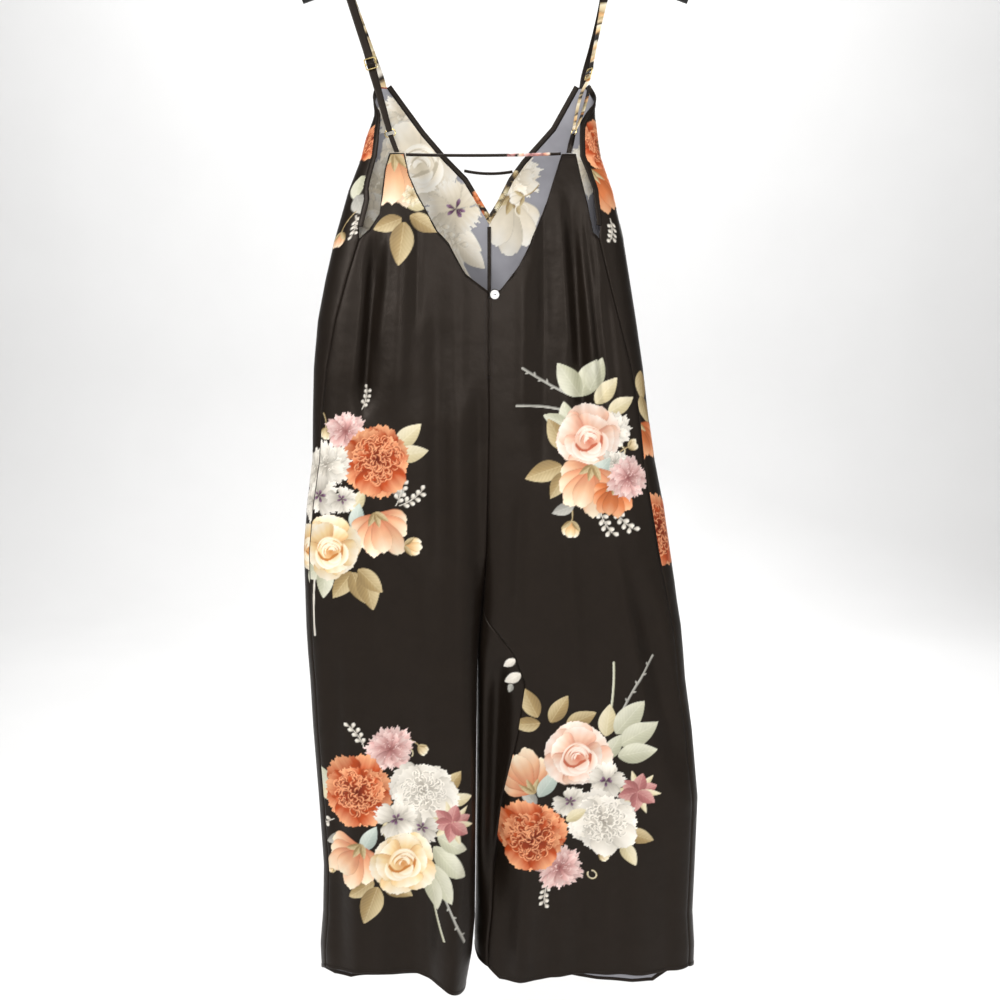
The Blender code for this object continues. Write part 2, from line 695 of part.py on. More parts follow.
def add_hanger(plastic, steel):
    """Two sloping arms in one bar, and the wire hook that stands 0.3 mm over a collar."""
    xs = np.linspace(-ARM_REACH, ARM_REACH, 31)
    points = [Vector((float(x), 0.0, arm_height(float(x)))) for x in xs]
    add_tube("hanger_arms", points, ARM_RADIUS, plastic, sides=3)
    collar_foot = arm_height(0.0) + ARM_RADIUS + SEWN_GAP
    collar_top = collar_foot + COLLAR_HEIGHT
    bpy.ops.mesh.primitive_cone_add(
        vertices=24, radius1=COLLAR_FOOT_RADIUS * MM, radius2=COLLAR_TOP_RADIUS * MM, depth=COLLAR_HEIGHT * MM,
        location=(0.0, 0.0, (collar_top + collar_foot) / 2 * MM),
    )
    collar = bpy.context.object
    collar.name = "hanger_collar"
    collar.data.materials.append(plastic)
    for holder in list(collar.users_collection):
        holder.objects.unlink(collar)
    bpy.data.collections["romper"].objects.link(collar)
    centre = Vector((0.0, 0.0, HOOK_WIRE - HOOK_ROUND))
    knots = [(shift, 0.0, collar_top + SEWN_GAP + rise) for shift, rise in HOOK_NECK]
    for angle in np.linspace(-60.0, 215.0, 14):
        turn = math.radians(float(angle))
        knots.append(tuple(centre + HOOK_ROUND * Vector((math.cos(turn), 0.0, math.sin(turn)))))
    path = [Vector(knot) for knot in smooth_path(knots, 3)]
    add_tube("hanger_hook", path, HOOK_WIRE, steel, sides=2)


def main():
    for old in list(bpy.data.objects):
        bpy.data.objects.remove(old)
    collection = bpy.data.collections.new("romper")
    bpy.context.scene.collection.children.link(collection)
    cloth = material("black printed satin", (0.03, 0.027, 0.027), 0.5)
    trim = material("black bias binding", (0.02, 0.018, 0.02), 0.6)
    gold = material("gold plate", (0.85, 0.62, 0.3), 0.25, 1.0)
    shell = material("white shell", (0.85, 0.85, 0.83), 0.2)
    plastic = material("black plastic", (0.01, 0.01, 0.01), 0.2)
    steel = material("bright steel", (0.7, 0.7, 0.7), 0.2, 1.0)
    grids = add_panels(cloth)
    add_bindings(grids, trim)
    for route in STRAP_ROUTES:
        add_strap(route, trim)
        add_ring(route, gold)
        add_slider(route, gold)
        add_tab(route, trim)
    for row in CROSS_STRAPS:
        add_cross_strap(row, trim)
    add_button(shell, trim)
    add_seam_allowance(trim)
    add_hanger(plastic, steel)


main()
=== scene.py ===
# The looks of a strappy wide-leg romper in printed black satin, hung from a plain clothes hanger.
# The tables are in millimetres unless a column says otherwise, and everything is built in metres.

import math
from collections import namedtuple

import bmesh
import bpy
import numpy as np
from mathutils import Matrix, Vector


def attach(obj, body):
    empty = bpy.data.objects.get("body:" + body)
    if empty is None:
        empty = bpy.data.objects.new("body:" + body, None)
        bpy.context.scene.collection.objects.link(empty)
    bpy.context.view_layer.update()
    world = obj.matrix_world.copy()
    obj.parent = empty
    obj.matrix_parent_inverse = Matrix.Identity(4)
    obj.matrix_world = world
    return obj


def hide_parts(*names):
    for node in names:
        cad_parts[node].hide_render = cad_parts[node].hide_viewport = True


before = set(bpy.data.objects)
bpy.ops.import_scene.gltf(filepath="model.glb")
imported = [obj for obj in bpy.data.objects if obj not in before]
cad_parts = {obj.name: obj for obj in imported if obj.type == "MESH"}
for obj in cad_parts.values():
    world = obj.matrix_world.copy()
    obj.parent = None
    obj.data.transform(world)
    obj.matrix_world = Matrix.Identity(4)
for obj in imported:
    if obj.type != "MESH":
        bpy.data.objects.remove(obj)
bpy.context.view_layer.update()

MM = 0.001
BODY = "root"

# Camera in metres, as the photograph was taken: a little above the middle, looking down
CAMERA_AT = Vector((0.006, -1.43, -0.485))
LOOK_DOWN = math.radians(9.9)
FOCUS_PIXELS = 1100.0
PICTURE_SIDE = 1000.0
SENSOR_MM = 36.0

# Cloth
WALL = 0.8
SEAM_PULL = 0.12
SEAM_DIP = 0.6
SEAM_DIP_WIDTH = 2.2
UNDERARM_Z = -400.0
CROTCH_Z = -872.0
INNER_ROUND = 26.0
OUTER_ROUND = 1.5
OUTER_SHARE = 0.45
STAGGER_SHARE = 0.4
FOLD_FADE = 20.0
FOLD_RISE = 0.3
FOLD_FALL = 0.25
CLOTH_MIDDLE = 0.55
LOOP_SAMPLES = 220
MAP_TOP_Z = -204.0
MAP_STEP = 4.0
MAP_LEVELS = 318
MAP_COLUMNS = 241
SHELL_COLUMNS = 92
SHELL_ROWS = 230
PRINT_STEP = 1.22
PRINT_LIFT = 0.3
PRINT_REACH = 1.2
PRINT_MARGIN = 0.6
LEAST_COVER = 0.02
STITCH_PITCH = 2.6
STITCH_LENGTH = 1.9
STITCH_THICK = 0.32

# Straps, trimmings and hanger
SEWN_GAP = 0.3
STRAP_WIDTH = 10.0
STRAP_WALL = 1.0
ROULEAU_RADIUS = 1.9
RING_WIRE = 0.65
RING_HEIGHT = 8.0
SLIDER_HEIGHT = 14.0
SLIDER_BAR = 1.3
TAB_WIDTH = 6.0
BUTTON_THICK = 2.4
ARM_RADIUS = 5.0
ARM_REACH = 236.0
ARM_APEX_Z = -62.0
ARM_DROP = 52.0
ARM_POWER = 1.6
HOOK_WIRE = 2.1
HOOK_ROUND = 18.0
SEAT = SEWN_GAP + STRAP_WALL / 2

# The level sections, as in the part: side folds, middle line, half the distance between the legs, half
# depths, the share of depth that stays open at the middle, how far the front comes round the folds, how far
# the right leg's inseam lies round towards the viewer, and how far the two legs' inner folds lean apart.
Section = namedtuple(
    "Section",
    "z left_edge right_edge middle gap left_depth right_depth open_share left_wrap right_wrap inseam stagger",
)
SECTIONS = [
    Section(-190, -150, 124, -8, 0.05, 11, 11, 1.00, 34, 33, 0, 0),
    Section(-250, -150, 124, -8, 0.05, 15, 15, 1.00, 34, 33, 0, 0),
    Section(-278, -161, 128, -8, 0.05, 18, 18, 1.00, 34, 33, 0, 0),
    Section(-300, -167, 132, -8, 0.05, 20, 20, 1.00, 34, 33, 0, 0),
    Section(-340, -184, 147, -8, 0.05, 24, 24, 1.00, 34, 33, 0, 0),
    Section(-400, -203, 162, -8, 0.05, 28, 28, 1.00, 34, 33, 0, 0),
    Section(-450, -216, 171, -8, 0.05, 30, 30, 1.00, 30, 29, 0, 0),
    Section(-500, -227, 180, -8, 0.05, 32, 32, 1.00, 26, 24, 0, 0),
    Section(-560, -234, 190, -8, 0.05, 33, 33, 1.00, 20, 17, 0, 0),
    Section(-620, -237, 198, -8, 0.05, 34, 34, 1.00, 15, 14, 0, 0),
    Section(-680, -239, 208, -9, 0.05, 34, 34, 0.98, 12, 17, 0, 0),
    Section(-740, -248, 221, -10, 0.05, 34, 34, 0.90, 11, 19, 0, 0),
    Section(-800, -254, 231, -11, 0.05, 34, 33, 0.68, 10, 18, 0, 0),
    Section(-840, -254, 238, -14, 0.1, 34, 32, 0.38, 10, 16, 0, 0),
    Section(-872, -254, 243, -17, 0.15, 34, 32, 0.05, 10, 14, 0, 0),
    Section(-905, -254, 249, -21, 0.2, 34, 31, 0.00, 10, 13, 40, 2),
    Section(-940, -253, 253, -24, 0.2, 34, 30, 0.00, 10, 12, 68, 5),
    Section(-980, -251, 257, -25, 0.2, 34, 29, 0.00, 10, 12, 84, 9),
    Section(-1050, -249, 268, -26, 0.2, 35, 28, 0.00, 10, 11, 76, 14),
    Section(-1150, -244, 279, -27, 0.2, 37, 27, 0.00, 10, 10, 56, 18),
    Section(-1250, -240, 278, -28, 0.3, 39, 26, 0.00, 10, 10, 45, 19),
    Section(-1320, -243, 277, -29, 0.3, 40, 26, 0.00, 10, 10, 42, 20),
    Section(-1370, -248, 281, -32, 1.6, 40, 26, 0.00, 10, 10, 38, 20),
    Section(-1470, -246, 281, -39, 12.0, 40, 26, 0.00, 10, 10, 34, 20),
]
SECTION_HEIGHTS = np.array([row.z for row in reversed(SECTIONS)], float)
SECTION_VALUES = {
    field: np.array([getattr(row, field) for row in reversed(SECTIONS)], float)
    for field in Section._fields
}

# Each sheet's large folds, as in the part, and after them the small creases that only the looks have
Fold = namedtuple("Fold", "top_x top_z foot_x foot_z height half_width")
FOLDS = {
    "near": [
        Fold(-142, -380, -170, -640, -9, 13),
        Fold(-112, -330, -128, -640, 5, 15),
        Fold(-72, -410, -70, -860, -5, 17),
        Fold(62, -360, 63, -720, -6, 15),
        Fold(92, -330, 118, -690, -11, 10),
        Fold(112, -400, 142, -760, 5, 12),
        Fold(-20, -560, -22, -900, -6, 11),
        Fold(-52, -520, -50, -1000, 4, 14),
        Fold(-212, -820, -218, -1480, -7, 13),
        Fold(-110, -900, -122, -1480, -8, 24),
        Fold(-62, -1150, -66, -1520, 14, 24),
        Fold(178, -800, 262, -1150, -10, 15),
        Fold(60, -960, 30, -1500, 10, 17),
        Fold(110, -930, 120, -1500, -7, 22),
        Fold(190, -1120, 205, -1500, 6, 20),
        Fold(2, -900, -8, -1300, -14, 13),
        Fold(-128, -370, -150, -560, 3.0, 7),
        Fold(-158, -420, -182, -600, 2.5, 7),
        Fold(-95, -350, -100, -520, -1.8, 6),
        Fold(-40, -430, -44, -620, -1.5, 7),
        Fold(78, -330, 98, -560, 2.6, 6),
        Fold(104, -350, 128, -600, 2.2, 6),
        Fold(36, -420, 34, -640, 1.6, 8),
        Fold(134, -440, 160, -640, -2.0, 7),
        Fold(-190, -560, -206, -900, -2.4, 9),
        Fold(-150, -700, -168, -1100, 1.8, 9),
        Fold(-90, -760, -96, -1200, 1.6, 10),
        Fold(90, -740, 120, -1060, 2.0, 10),
        Fold(150, -760, 215, -1080, 3.0, 9),
        Fold(200, -860, 268, -1180, 2.2, 8),
        Fold(34, -700, 26, -900, -2.4, 9),
        Fold(-36, -1000, -44, -1480, -3.0, 8),
        Fold(-88, -1180, -92, -1500, -2.4, 9),
        Fold(-150, -1160, -160, -1490, 2.2, 11),
        Fold(-190, -1060, -192, -1480, 2.0, 10),
        Fold(78, -1160, 76, -1490, -2.2, 10),
        Fold(150, -1100, 160, -1480, 2.4, 12),
        Fold(236, -1160, 244, -1480, -3.0, 11),
        Fold(10, -890, -4, -1340, -12, 14),
        Fold(-149, -372, -171, -640, -5, 5),
        Fold(107, -345, 142, -640, -6, 6),
        Fold(60, -330, 62, -560, -2.5, 7),
    ],
    "far": [
        Fold(-120, -360, -150, -760, -7, 16),
        Fold(-50, -420, -60, -1000, 6, 18),
        Fold(60, -380, 80, -800, -7, 15),
        Fold(130, -520, 170, -1050, 6, 16),
        Fold(-190, -820, -200, -1500, 6, 18),
        Fold(-110, -980, -100, -1500, -8, 20),
        Fold(50, -900, 40, -1500, 7, 18),
        Fold(130, -950, 150, -1500, -7, 20),
        Fold(220, -1050, 225, -1500, 5, 16),
        Fold(-80, -300, -90, -560, 2.2, 8),
        Fold(-30, -420, -28, -700, -2.0, 9),
        Fold(30, -400, 34, -680, 2.0, 9),
        Fold(96, -320, 120, -640, 2.4, 8),
        Fold(-160, -700, -176, -1100, -2.4, 10),
        Fold(100, -800, 120, -1200, 2.2, 11),
        Fold(190, -900, 210, -1300, -2.6, 11),
        Fold(-60, -1100, -66, -1490, -2.4, 10),
    ],
}

# The four panels: their sheet and side, the arcs of their strap tip at the underarm and of their side seam,
# the top edge by arc and the hem by share of arc, each against height, and then the size and the area that
# they were cut to, in metres.
Panel = namedtuple("Panel", "name sheet side whole tip top hem flat area")
PANELS = {
    panel.name: panel
    for panel in [
        Panel(
            "back_left", "near", -1, 161, (104, 122),
            [(0, -465), (27, -443), (49, -406), (64, -391), (89, -345), (99, -322), (104, -297),
             (122, -297), (128, -316), (135, -370), (148, -389), (161, -400)],
            [(0.0, -1424), (0.12, -1417), (0.25, -1404), (0.4, -1396), (0.75, -1393), (1.0, -1396)],
            (0.27, 1.13), 0.25,
        ),
        Panel(
            "back_right", "near", 1, 138, (91, 108),
            [(0, -467), (13, -463), (36, -433), (51, -407), (63, -380), (73, -355), (82, -326), (91, -298),
             (108, -298), (115, -328), (123, -358), (130, -392), (138, -400)],
            [(0.0, -1403), (0.06, -1418), (0.16, -1417), (0.4, -1408), (0.6, -1404), (0.85, -1402),
             (1.0, -1398)],
            (0.31, 1.12), 0.25,
        ),
        Panel(
            "front_left", "far", -1, 241, (119, 128),
            [(0, -376), (30, -325), (55, -299), (80, -269), (100, -241), (119, -214), (128, -214),
             (147, -246), (160, -262), (173, -280), (184, -303), (201, -330), (217, -352), (230, -384),
             (241, -400)],
            [(0.0, -1424), (0.2, -1440), (0.5, -1448), (0.72, -1450), (0.81, -1436), (0.9, -1412),
             (1.0, -1396)],
            (0.30, 1.24), 0.31,
        ),
        Panel(
            "front_right", "far", 1, 216, (105, 114),
            [(0, -377), (14, -354), (28, -325), (43, -304), (78, -264), (105, -214), (114, -214),
             (134, -240), (155, -262), (165, -287), (177, -318), (191, -350), (202, -378), (216, -400)],
            [(0.0, -1403), (0.05, -1398), (0.1, -1385), (0.2, -1416), (0.5, -1441), (0.7, -1451),
             (0.78, -1450), (0.86, -1424), (0.93, -1407), (1.0, -1398)],
            (0.35, 1.24), 0.36,
        ),
    ]
}


def hex_colour(code):
    """An sRGB hex value as linear red, green and blue."""
    channels = [int(code[start : start + 2], 16) / 255 for start in (1, 3, 5)]
    return np.array([c / 12.92 if c <= 0.04045 else ((c + 0.055) / 1.055) ** 2.4 for c in channels])


def tones_of(codes):
    return [hex_colour(code) for code in codes]


def smooth_step(t):
    t = np.clip(t, 0.0, 1.0)
    return t * t * (3.0 - 2.0 * t)


def at_height(field, z):
    return float(np.interp(z, SECTION_HEIGHTS, SECTION_VALUES[field]))


def side_name(side):
    return "left" if side < 0 else "right"


def round_end(distance, length):
    """Rises from 0 to 1 over a length, like the quarter of an ellipse."""
    left = np.clip(1.0 - distance / length, 0.0, 1.0)
    return np.sqrt(1.0 - left * left)


def section_loop(side, z):
    """One half's level section as points with the length along them: near sheet out, far sheet back."""
    edge = at_height(side_name(side) + "_edge", z)
    middle = at_height("middle", z) + side * at_height("gap", z)
    width = abs(edge - middle)
    depth = at_height(side_name(side) + "_depth", z)
    share = at_height("open_share", z)
    outer = min(OUTER_ROUND * depth, OUTER_SHARE * width)
    across = width * (0.5 - 0.5 * np.cos(np.linspace(0.0, math.pi, LOOP_SAMPLES)))
    hollow = share + (1.0 - share) * round_end(across, INNER_ROUND)
    profile = hollow * round_end(width - across, outer)
    lean = side * at_height("stagger", z) * np.clip(1.0 - across / (STAGGER_SHARE * width), 0.0, 1.0) ** 2
    x = middle + side * across
    near = np.column_stack([x, lean - depth * profile])
    far = np.column_stack([x, lean + depth * profile])[::-1]
    loop = np.vstack([near, far[1:]])
    steps = np.hypot(*np.diff(loop, axis=0).T)
    return loop, np.concatenate([[0.0], np.cumsum(steps)])


def fold_push(sheet, x, z):
    """How far the folds push points of a sheet outwards, away from the hollow."""
    push = np.zeros_like(x)
    for fold in FOLDS[sheet]:
        if not fold.foot_z < z < fold.top_z:
            continue
        share = (fold.top_z - z) / (fold.top_z - fold.foot_z)
        line = fold.top_x + share * (fold.foot_x - fold.top_x)
        along = smooth_step(share / FOLD_RISE) * smooth_step((1.0 - share) / FOLD_FALL)
        push += fold.height * along * np.exp(-(((x - line) / fold.half_width) ** 2))
    return push


def panel_span(panel, z):
    """Where a panel's inner and outer edges lie along the section at height z."""
    loop, lengths = section_loop(panel.side, z)
    edge = at_height(side_name(panel.side) + "_edge", z)
    wrap = at_height(side_name(panel.side) + "_wrap", z)
    across = abs(loop[:LOOP_SAMPLES, 0] - loop[0, 0])
    seam = float(np.interp(abs(edge - loop[0, 0]) - wrap, across, lengths[:LOOP_SAMPLES]))
    inseam = at_height("inseam", z) if panel.side > 0 else 0.0
    if panel.sheet == "near":
        return inseam, seam
    return lengths[-1] + inseam, seam


def level_points(panel, z, shares):
    """Points of a panel at height z, by share of its width there, and the cloth's own x of each."""
    loop, lengths = section_loop(panel.side, z)
    total = lengths[-1]
    inner, outer = panel_span(panel, z)
    if z > UNDERARM_Z:
        start, finish = panel_span(panel, UNDERARM_Z)
        width = abs(finish - start)
    else:
        width = abs(outer - inner)
    arcs = np.clip(shares * width, SEAM_PULL, width - SEAM_PULL if z <= UNDERARM_Z else None)
    away = 1.0 if panel.sheet == "near" else -1.0
    along = (inner + away * arcs) % total
    x = np.interp(along, lengths, loop[:, 0])
    y = np.interp(along, lengths, loop[:, 1])
    near = along < total / 2
    ends = np.minimum(np.minimum(along, total - along), abs(along - total / 2))
    soft = 1.0 if z > CROTCH_Z else smooth_step(ends / FOLD_FADE)
    push = soft * np.where(near, fold_push("near", x, z), fold_push("far", x, z))
    dip = SEAM_DIP * np.exp(-((arcs / SEAM_DIP_WIDTH) ** 2))
    if z <= UNDERARM_Z:
        dip = dip + SEAM_DIP * np.exp(-(((width - arcs) / SEAM_DIP_WIDTH) ** 2))
    y = y + np.where(near, -1.0, 1.0) * (push - dip)
    middle = CLOTH_MIDDLE * width
    reference = float(np.interp((inner + away * middle) % total, lengths, loop[:, 0]))
    cloth_x = reference + panel.side * (arcs - middle)
    return np.column_stack([x, y, np.full_like(x, z)]), cloth_x, width


PanelMap = namedtuple("PanelMap", "points normals cloth_x widths")


def panel_map(panel):
    """A panel's surface as a regular grid of levels and shares, for looking points up in."""
    shares = np.linspace(0.0, 1.0, MAP_COLUMNS)
    points, cloth, widths = [], [], []
    for level in range(MAP_LEVELS):
        at, own_x, width = level_points(panel, MAP_TOP_Z - MAP_STEP * level, shares)
        points.append(at)
        cloth.append(own_x)
        widths.append(width)
    points = np.array(points)
    across = np.gradient(points, axis=1)
    down = np.gradient(points, axis=0)
    normals = np.cross(across, down)
    normals /= np.linalg.norm(normals, axis=2, keepdims=True)
    if (panel.sheet == "near") == (panel.side > 0):
        normals = -normals
    return PanelMap(points, normals, np.array(cloth), np.array(widths))


def look_up(grid, shares, heights):
    """Values of a map's grid at shares and heights, by the four nearest of its points."""
    level = np.clip((MAP_TOP_Z - heights) / MAP_STEP, 0.0, MAP_LEVELS - 1.001)
    column = np.clip(shares * (MAP_COLUMNS - 1), 0.0, MAP_COLUMNS - 1.001)
    row = level.astype(int)
    col = column.astype(int)
    down = level - row
    over = column - col
    if grid.ndim == 3:
        down = down[..., None]
        over = over[..., None]
    top = grid[row, col] * (1 - over) + grid[row, col + 1] * over
    foot = grid[row + 1, col] * (1 - over) + grid[row + 1, col + 1] * over
    return top * (1 - down) + foot * down


def table_height(rows, at):
    return np.interp(at, [row[0] for row in rows], [row[1] for row in rows])


MAPS = {name: panel_map(panel) for name, panel in PANELS.items()}


# Finishes


def add_node(tree, kind, inputs=None, **settings):
    """One shader node with its settings and its inputs, each a value or a pair of node and output name."""
    made = tree.nodes.new(kind)
    for name, value in settings.items():
        setattr(made, name, value)
    for name, value in (inputs or {}).items():
        if isinstance(value, tuple) and isinstance(value[0], bpy.types.Node):
            tree.links.new(value[0].outputs[value[1]], made.inputs[name])
        else:
            made.inputs[name].default_value = value
    return made


def new_finish(name):
    """A material with an empty Principled shader."""
    made = bpy.data.materials.new(name)
    made.use_nodes = True
    tree = made.node_tree
    return made, tree, tree.nodes["Principled BSDF"]


# Between these lie most of a noise's values
NOISE_LOW = 0.3
NOISE_HIGH = 0.7

# Colours of the cloth and of its print, each of the print's from dark to light
CLOTH_BLACK = "#17110c"
# The wrong side's own grey, set lighter still as painted light that makes up for the shade inside the garment
WRONG_GREY_AND_PAINTED_LIGHT = "#98979d"
RUST = ("#681d0c", "#b94a20", "#f2ae80")
PEACH = ("#c07a50", "#e9b88f", "#f6e0c4")
CORAL = ("#c4623c", "#eab68f", "#f8e8cc")
ROSE = ("#c8694e", "#efc4aa", "#faece0")
PINK = ("#9c5c5a", "#d8aaa4", "#efd5ce")
CREAM = ("#b79b6c", "#e2cfa8", "#f3ead2")
YELLOW = ("#c9803f", "#eed09c", "#faf0dc")
WHITE = ("#a49c90", "#dfd8cb", "#f6f0e5")
MAUVE = ("#6e3a3c", "#b0706e", "#dcaea6")
ORANGE = ("#a44a22", "#db7f4c", "#f0b58a")
KHAKI = ("#5d4a30", "#a48c60", "#dccca4")
PALE_LEAF = ("#87876f", "#c2c1a8", "#e4e2d0")
BLUE_LEAF = ("#84918a", "#b5c0b6", "#d8ded4")
GREY_LEAF = ("#66645f", "#9f9d95", "#cfccc2")
CREAM_LEAF = ("#9c8a64", "#d4c7a0", "#ece3ca")
# The print seen from its wrong side, faded towards cream, and lifted near to white as painted light that
# stands in for light reaching inside the garment
WASHED_AND_PAINTED_LIGHT = ("#d3c6ab", "#f3e8d2", "#fffaee")
PURPLE = ("#3d2438", "#6a4462", "#a383a0")


def satin_finish(name, printed, wrong_side=False):
    """Polyester satin crepe, woven face up: a soft broad sheen over a grain of about a millimetre, drawn
    coarser than its threads so that it shows. The wrong side is greyer and flat."""
    made, tree, shader = new_finish(name)
    place = add_node(tree, "ShaderNodeTexCoord")
    grain = add_node(
        tree, "ShaderNodeTexNoise", {"Vector": (place, "Object"), "Scale": 1.0 / 0.0012, "Detail": 3.0}
    )
    crumple = add_node(
        tree, "ShaderNodeTexNoise", {"Vector": (place, "Object"), "Scale": 1.0 / 0.034, "Detail": 3.0}
    )
    fine = add_node(tree, "ShaderNodeBump", {"Height": (grain, "Fac"), "Strength": 0.25, "Distance": 0.00012})
    soft = add_node(
        tree,
        "ShaderNodeBump",
        {"Height": (crumple, "Fac"), "Strength": 0.42, "Distance": 0.003, "Normal": (fine, "Normal")},
    )
    tree.links.new(soft.outputs["Normal"], shader.inputs["Normal"])
    if printed:
        ink = add_node(tree, "ShaderNodeAttribute", attribute_name="print")
        source = (ink, "Color")
    else:
        # The wrong side's grey is partly its real colour and partly painted light, lifted against the shade
        # inside the garment
        base = WRONG_GREY_AND_PAINTED_LIGHT if wrong_side else CLOTH_BLACK
        paint = add_node(tree, "ShaderNodeRGB")
        paint.outputs[0].default_value = (*hex_colour(base), 1.0)
        source = (paint, "Color")
    cloudy = add_node(
        tree,
        "ShaderNodeMapRange",
        {
            "Value": (crumple, "Fac"), "From Min": NOISE_LOW, "From Max": NOISE_HIGH,
            "To Min": 0.9, "To Max": 1.1,
        },
    )
    shaded = add_node(tree, "ShaderNodeVectorMath", operation="SCALE")
    tree.links.new(source[0].outputs[source[1]], shaded.inputs[0])
    tree.links.new(cloudy.outputs["Result"], shaded.inputs["Scale"])
    tree.links.new(shaded.outputs["Vector"], shader.inputs["Base Color"])
    rough = add_node(
        tree,
        "ShaderNodeMapRange",
        {
            "Value": (grain, "Fac"), "From Min": NOISE_LOW, "From Max": NOISE_HIGH,
            "To Min": 0.36, "To Max": 0.5,
        },
    )
    if wrong_side:
        shader.inputs["Roughness"].default_value = 0.85
        shader.inputs["Sheen Weight"].default_value = 0.08
    else:
        tree.links.new(rough.outputs["Result"], shader.inputs["Roughness"])
        shader.inputs["Sheen Weight"].default_value = 0.012
        shader.inputs["Sheen Roughness"].default_value = 0.45
        shader.inputs["Sheen Tint"].default_value = (0.95, 0.82, 0.77, 1.0)
        shader.inputs["Specular IOR Level"].default_value = 0.27
        shader.inputs["Specular Tint"].default_value = (1.0, 0.86, 0.76, 1.0)
    shader.inputs["IOR"].default_value = 1.46
    return made


def strip_finish(name, plain, accents, reach):
    """The same satin cut across into strips, so that bits of its print cross them by chance."""
    made, tree, shader = new_finish(name)
    place = add_node(tree, "ShaderNodeTexCoord")
    blot = add_node(
        tree, "ShaderNodeTexNoise", {"Vector": (place, "Object"), "Scale": 1.0 / 0.014, "Detail": 2.0}
    )
    ramp = add_node(tree, "ShaderNodeValToRGB", {"Fac": (blot, "Fac")})
    stops = ramp.color_ramp
    stops.elements[0].position = 0.0
    stops.elements[0].color = (*hex_colour(plain), 1.0)
    stops.elements[1].position = 1.0
    stops.elements[1].color = (*hex_colour(accents[-1]), 1.0)
    for index, code in enumerate(accents):
        stop = stops.elements.new(reach + 0.07 * index)
        stop.color = (*hex_colour(code), 1.0)
    edge = stops.elements.new(reach - 0.02)
    edge.color = (*hex_colour(plain), 1.0)
    tree.links.new(ramp.outputs["Color"], shader.inputs["Base Color"])
    grain = add_node(
        tree, "ShaderNodeTexNoise", {"Vector": (place, "Object"), "Scale": 1.0 / 0.0009, "Detail": 2.0}
    )
    fine = add_node(tree, "ShaderNodeBump", {"Height": (grain, "Fac"), "Strength": 0.4, "Distance": 0.00015})
    tree.links.new(fine.outputs["Normal"], shader.inputs["Normal"])
    shader.inputs["Roughness"].default_value = 0.5
    shader.inputs["Sheen Weight"].default_value = 0.2
    shader.inputs["Sheen Tint"].default_value = (0.86, 0.8, 0.8, 1.0)
    return made


def hard_finish(name, code, roughness, metallic, wear):
    """A moulded, plated or polished surface whose gloss varies a little with handling, over a few mm."""
    made, tree, shader = new_finish(name)
    place = add_node(tree, "ShaderNodeTexCoord")
    smear = add_node(
        tree, "ShaderNodeTexNoise", {"Vector": (place, "Object"), "Scale": 1.0 / wear, "Detail": 4.0}
    )
    rough = add_node(
        tree,
        "ShaderNodeMapRange",
        {
            "Value": (smear, "Fac"), "From Min": NOISE_LOW, "From Max": NOISE_HIGH,
            "To Min": roughness, "To Max": roughness * 1.7,
        },
    )
    dent = add_node(tree, "ShaderNodeBump", {"Height": (smear, "Fac"), "Strength": 0.15, "Distance": 0.0001})
    tree.links.new(rough.outputs["Result"], shader.inputs["Roughness"])
    tree.links.new(dent.outputs["Normal"], shader.inputs["Normal"])
    shader.inputs["Base Color"].default_value = (*hex_colour(code), 1.0)
    shader.inputs["Metallic"].default_value = metallic
    return made


def make_finishes():
    return {
        "satin": satin_finish("black_satin_crepe", printed=False),
        "print": satin_finish("printed_satin_crepe", printed=True),
        "wrong": satin_finish("satin_wrong_side", printed=False, wrong_side=True),
        "wash": satin_finish("print_seen_from_wrong_side", printed=True, wrong_side=True),
        "strip": strip_finish("satin_bias_strip", CLOTH_BLACK, ("#5a4a34", "#b08a5a"), 0.66),
        # Cast zinc, gold plated: a warm yellow mirror, a little duller where fingers have slid it
        "gold": hard_finish("gold_plated_zinc", "#e8cf8e", 0.2, 1.0, 0.004),
        # Cast resin, tumbled smooth: near white, with one small sharp highlight
        "shell": hard_finish("polished_resin_button", "#efeeea", 0.12, 0.0, 0.006),
        # Moulded plastic: deep black, with long soft highlights along the bar
        "plastic": hard_finish("moulded_black_plastic", "#0b0b0c", 0.16, 0.0, 0.009),
        # Drawn and polished steel: a cool grey mirror
        "steel": hard_finish("bright_steel_wire", "#b9bbbd", 0.14, 1.0, 0.006),
        # Spun polyester: matt, a shade lighter than the cloth, so that each stitch just shows
        "thread": hard_finish("black_sewing_thread", "#241f20", 0.6, 0.0, 0.001),
    }


# Making pieces


def keep(made, node=None):
    """Puts a piece in the scene, on the garment's one body, and hides the node it stands for."""
    if made.name not in bpy.context.scene.collection.objects:
        bpy.context.scene.collection.objects.link(made)
    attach(made, BODY)
    if node:
        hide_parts(node)
    return made


def mesh_object(name, points, faces, finishes):
    mesh = bpy.data.meshes.new(name)
    mesh.from_pydata([tuple(point) for point in np.asarray(points, float) * MM], [], faces)
    for finish in finishes:
        mesh.materials.append(finish)
    mesh.shade_smooth()
    return bpy.data.objects.new(name, mesh)


def grid_faces(rows, columns, flip=False):
    faces = []
    for r in range(rows - 1):
        for c in range(columns - 1):
            first = r * columns + c
            corners = (first, first + 1, first + columns + 1, first + columns)
            faces.append(corners[::-1] if flip else corners)
    return faces


def thicken(made, wall, inside=0):
    """Gives an open sheet its wall, on both sides of its points, with another finish inside."""
    thick = made.modifiers.new("wall", "SOLIDIFY")
    thick.thickness = wall * MM
    thick.offset = 0.0
    thick.material_offset = inside
    return made


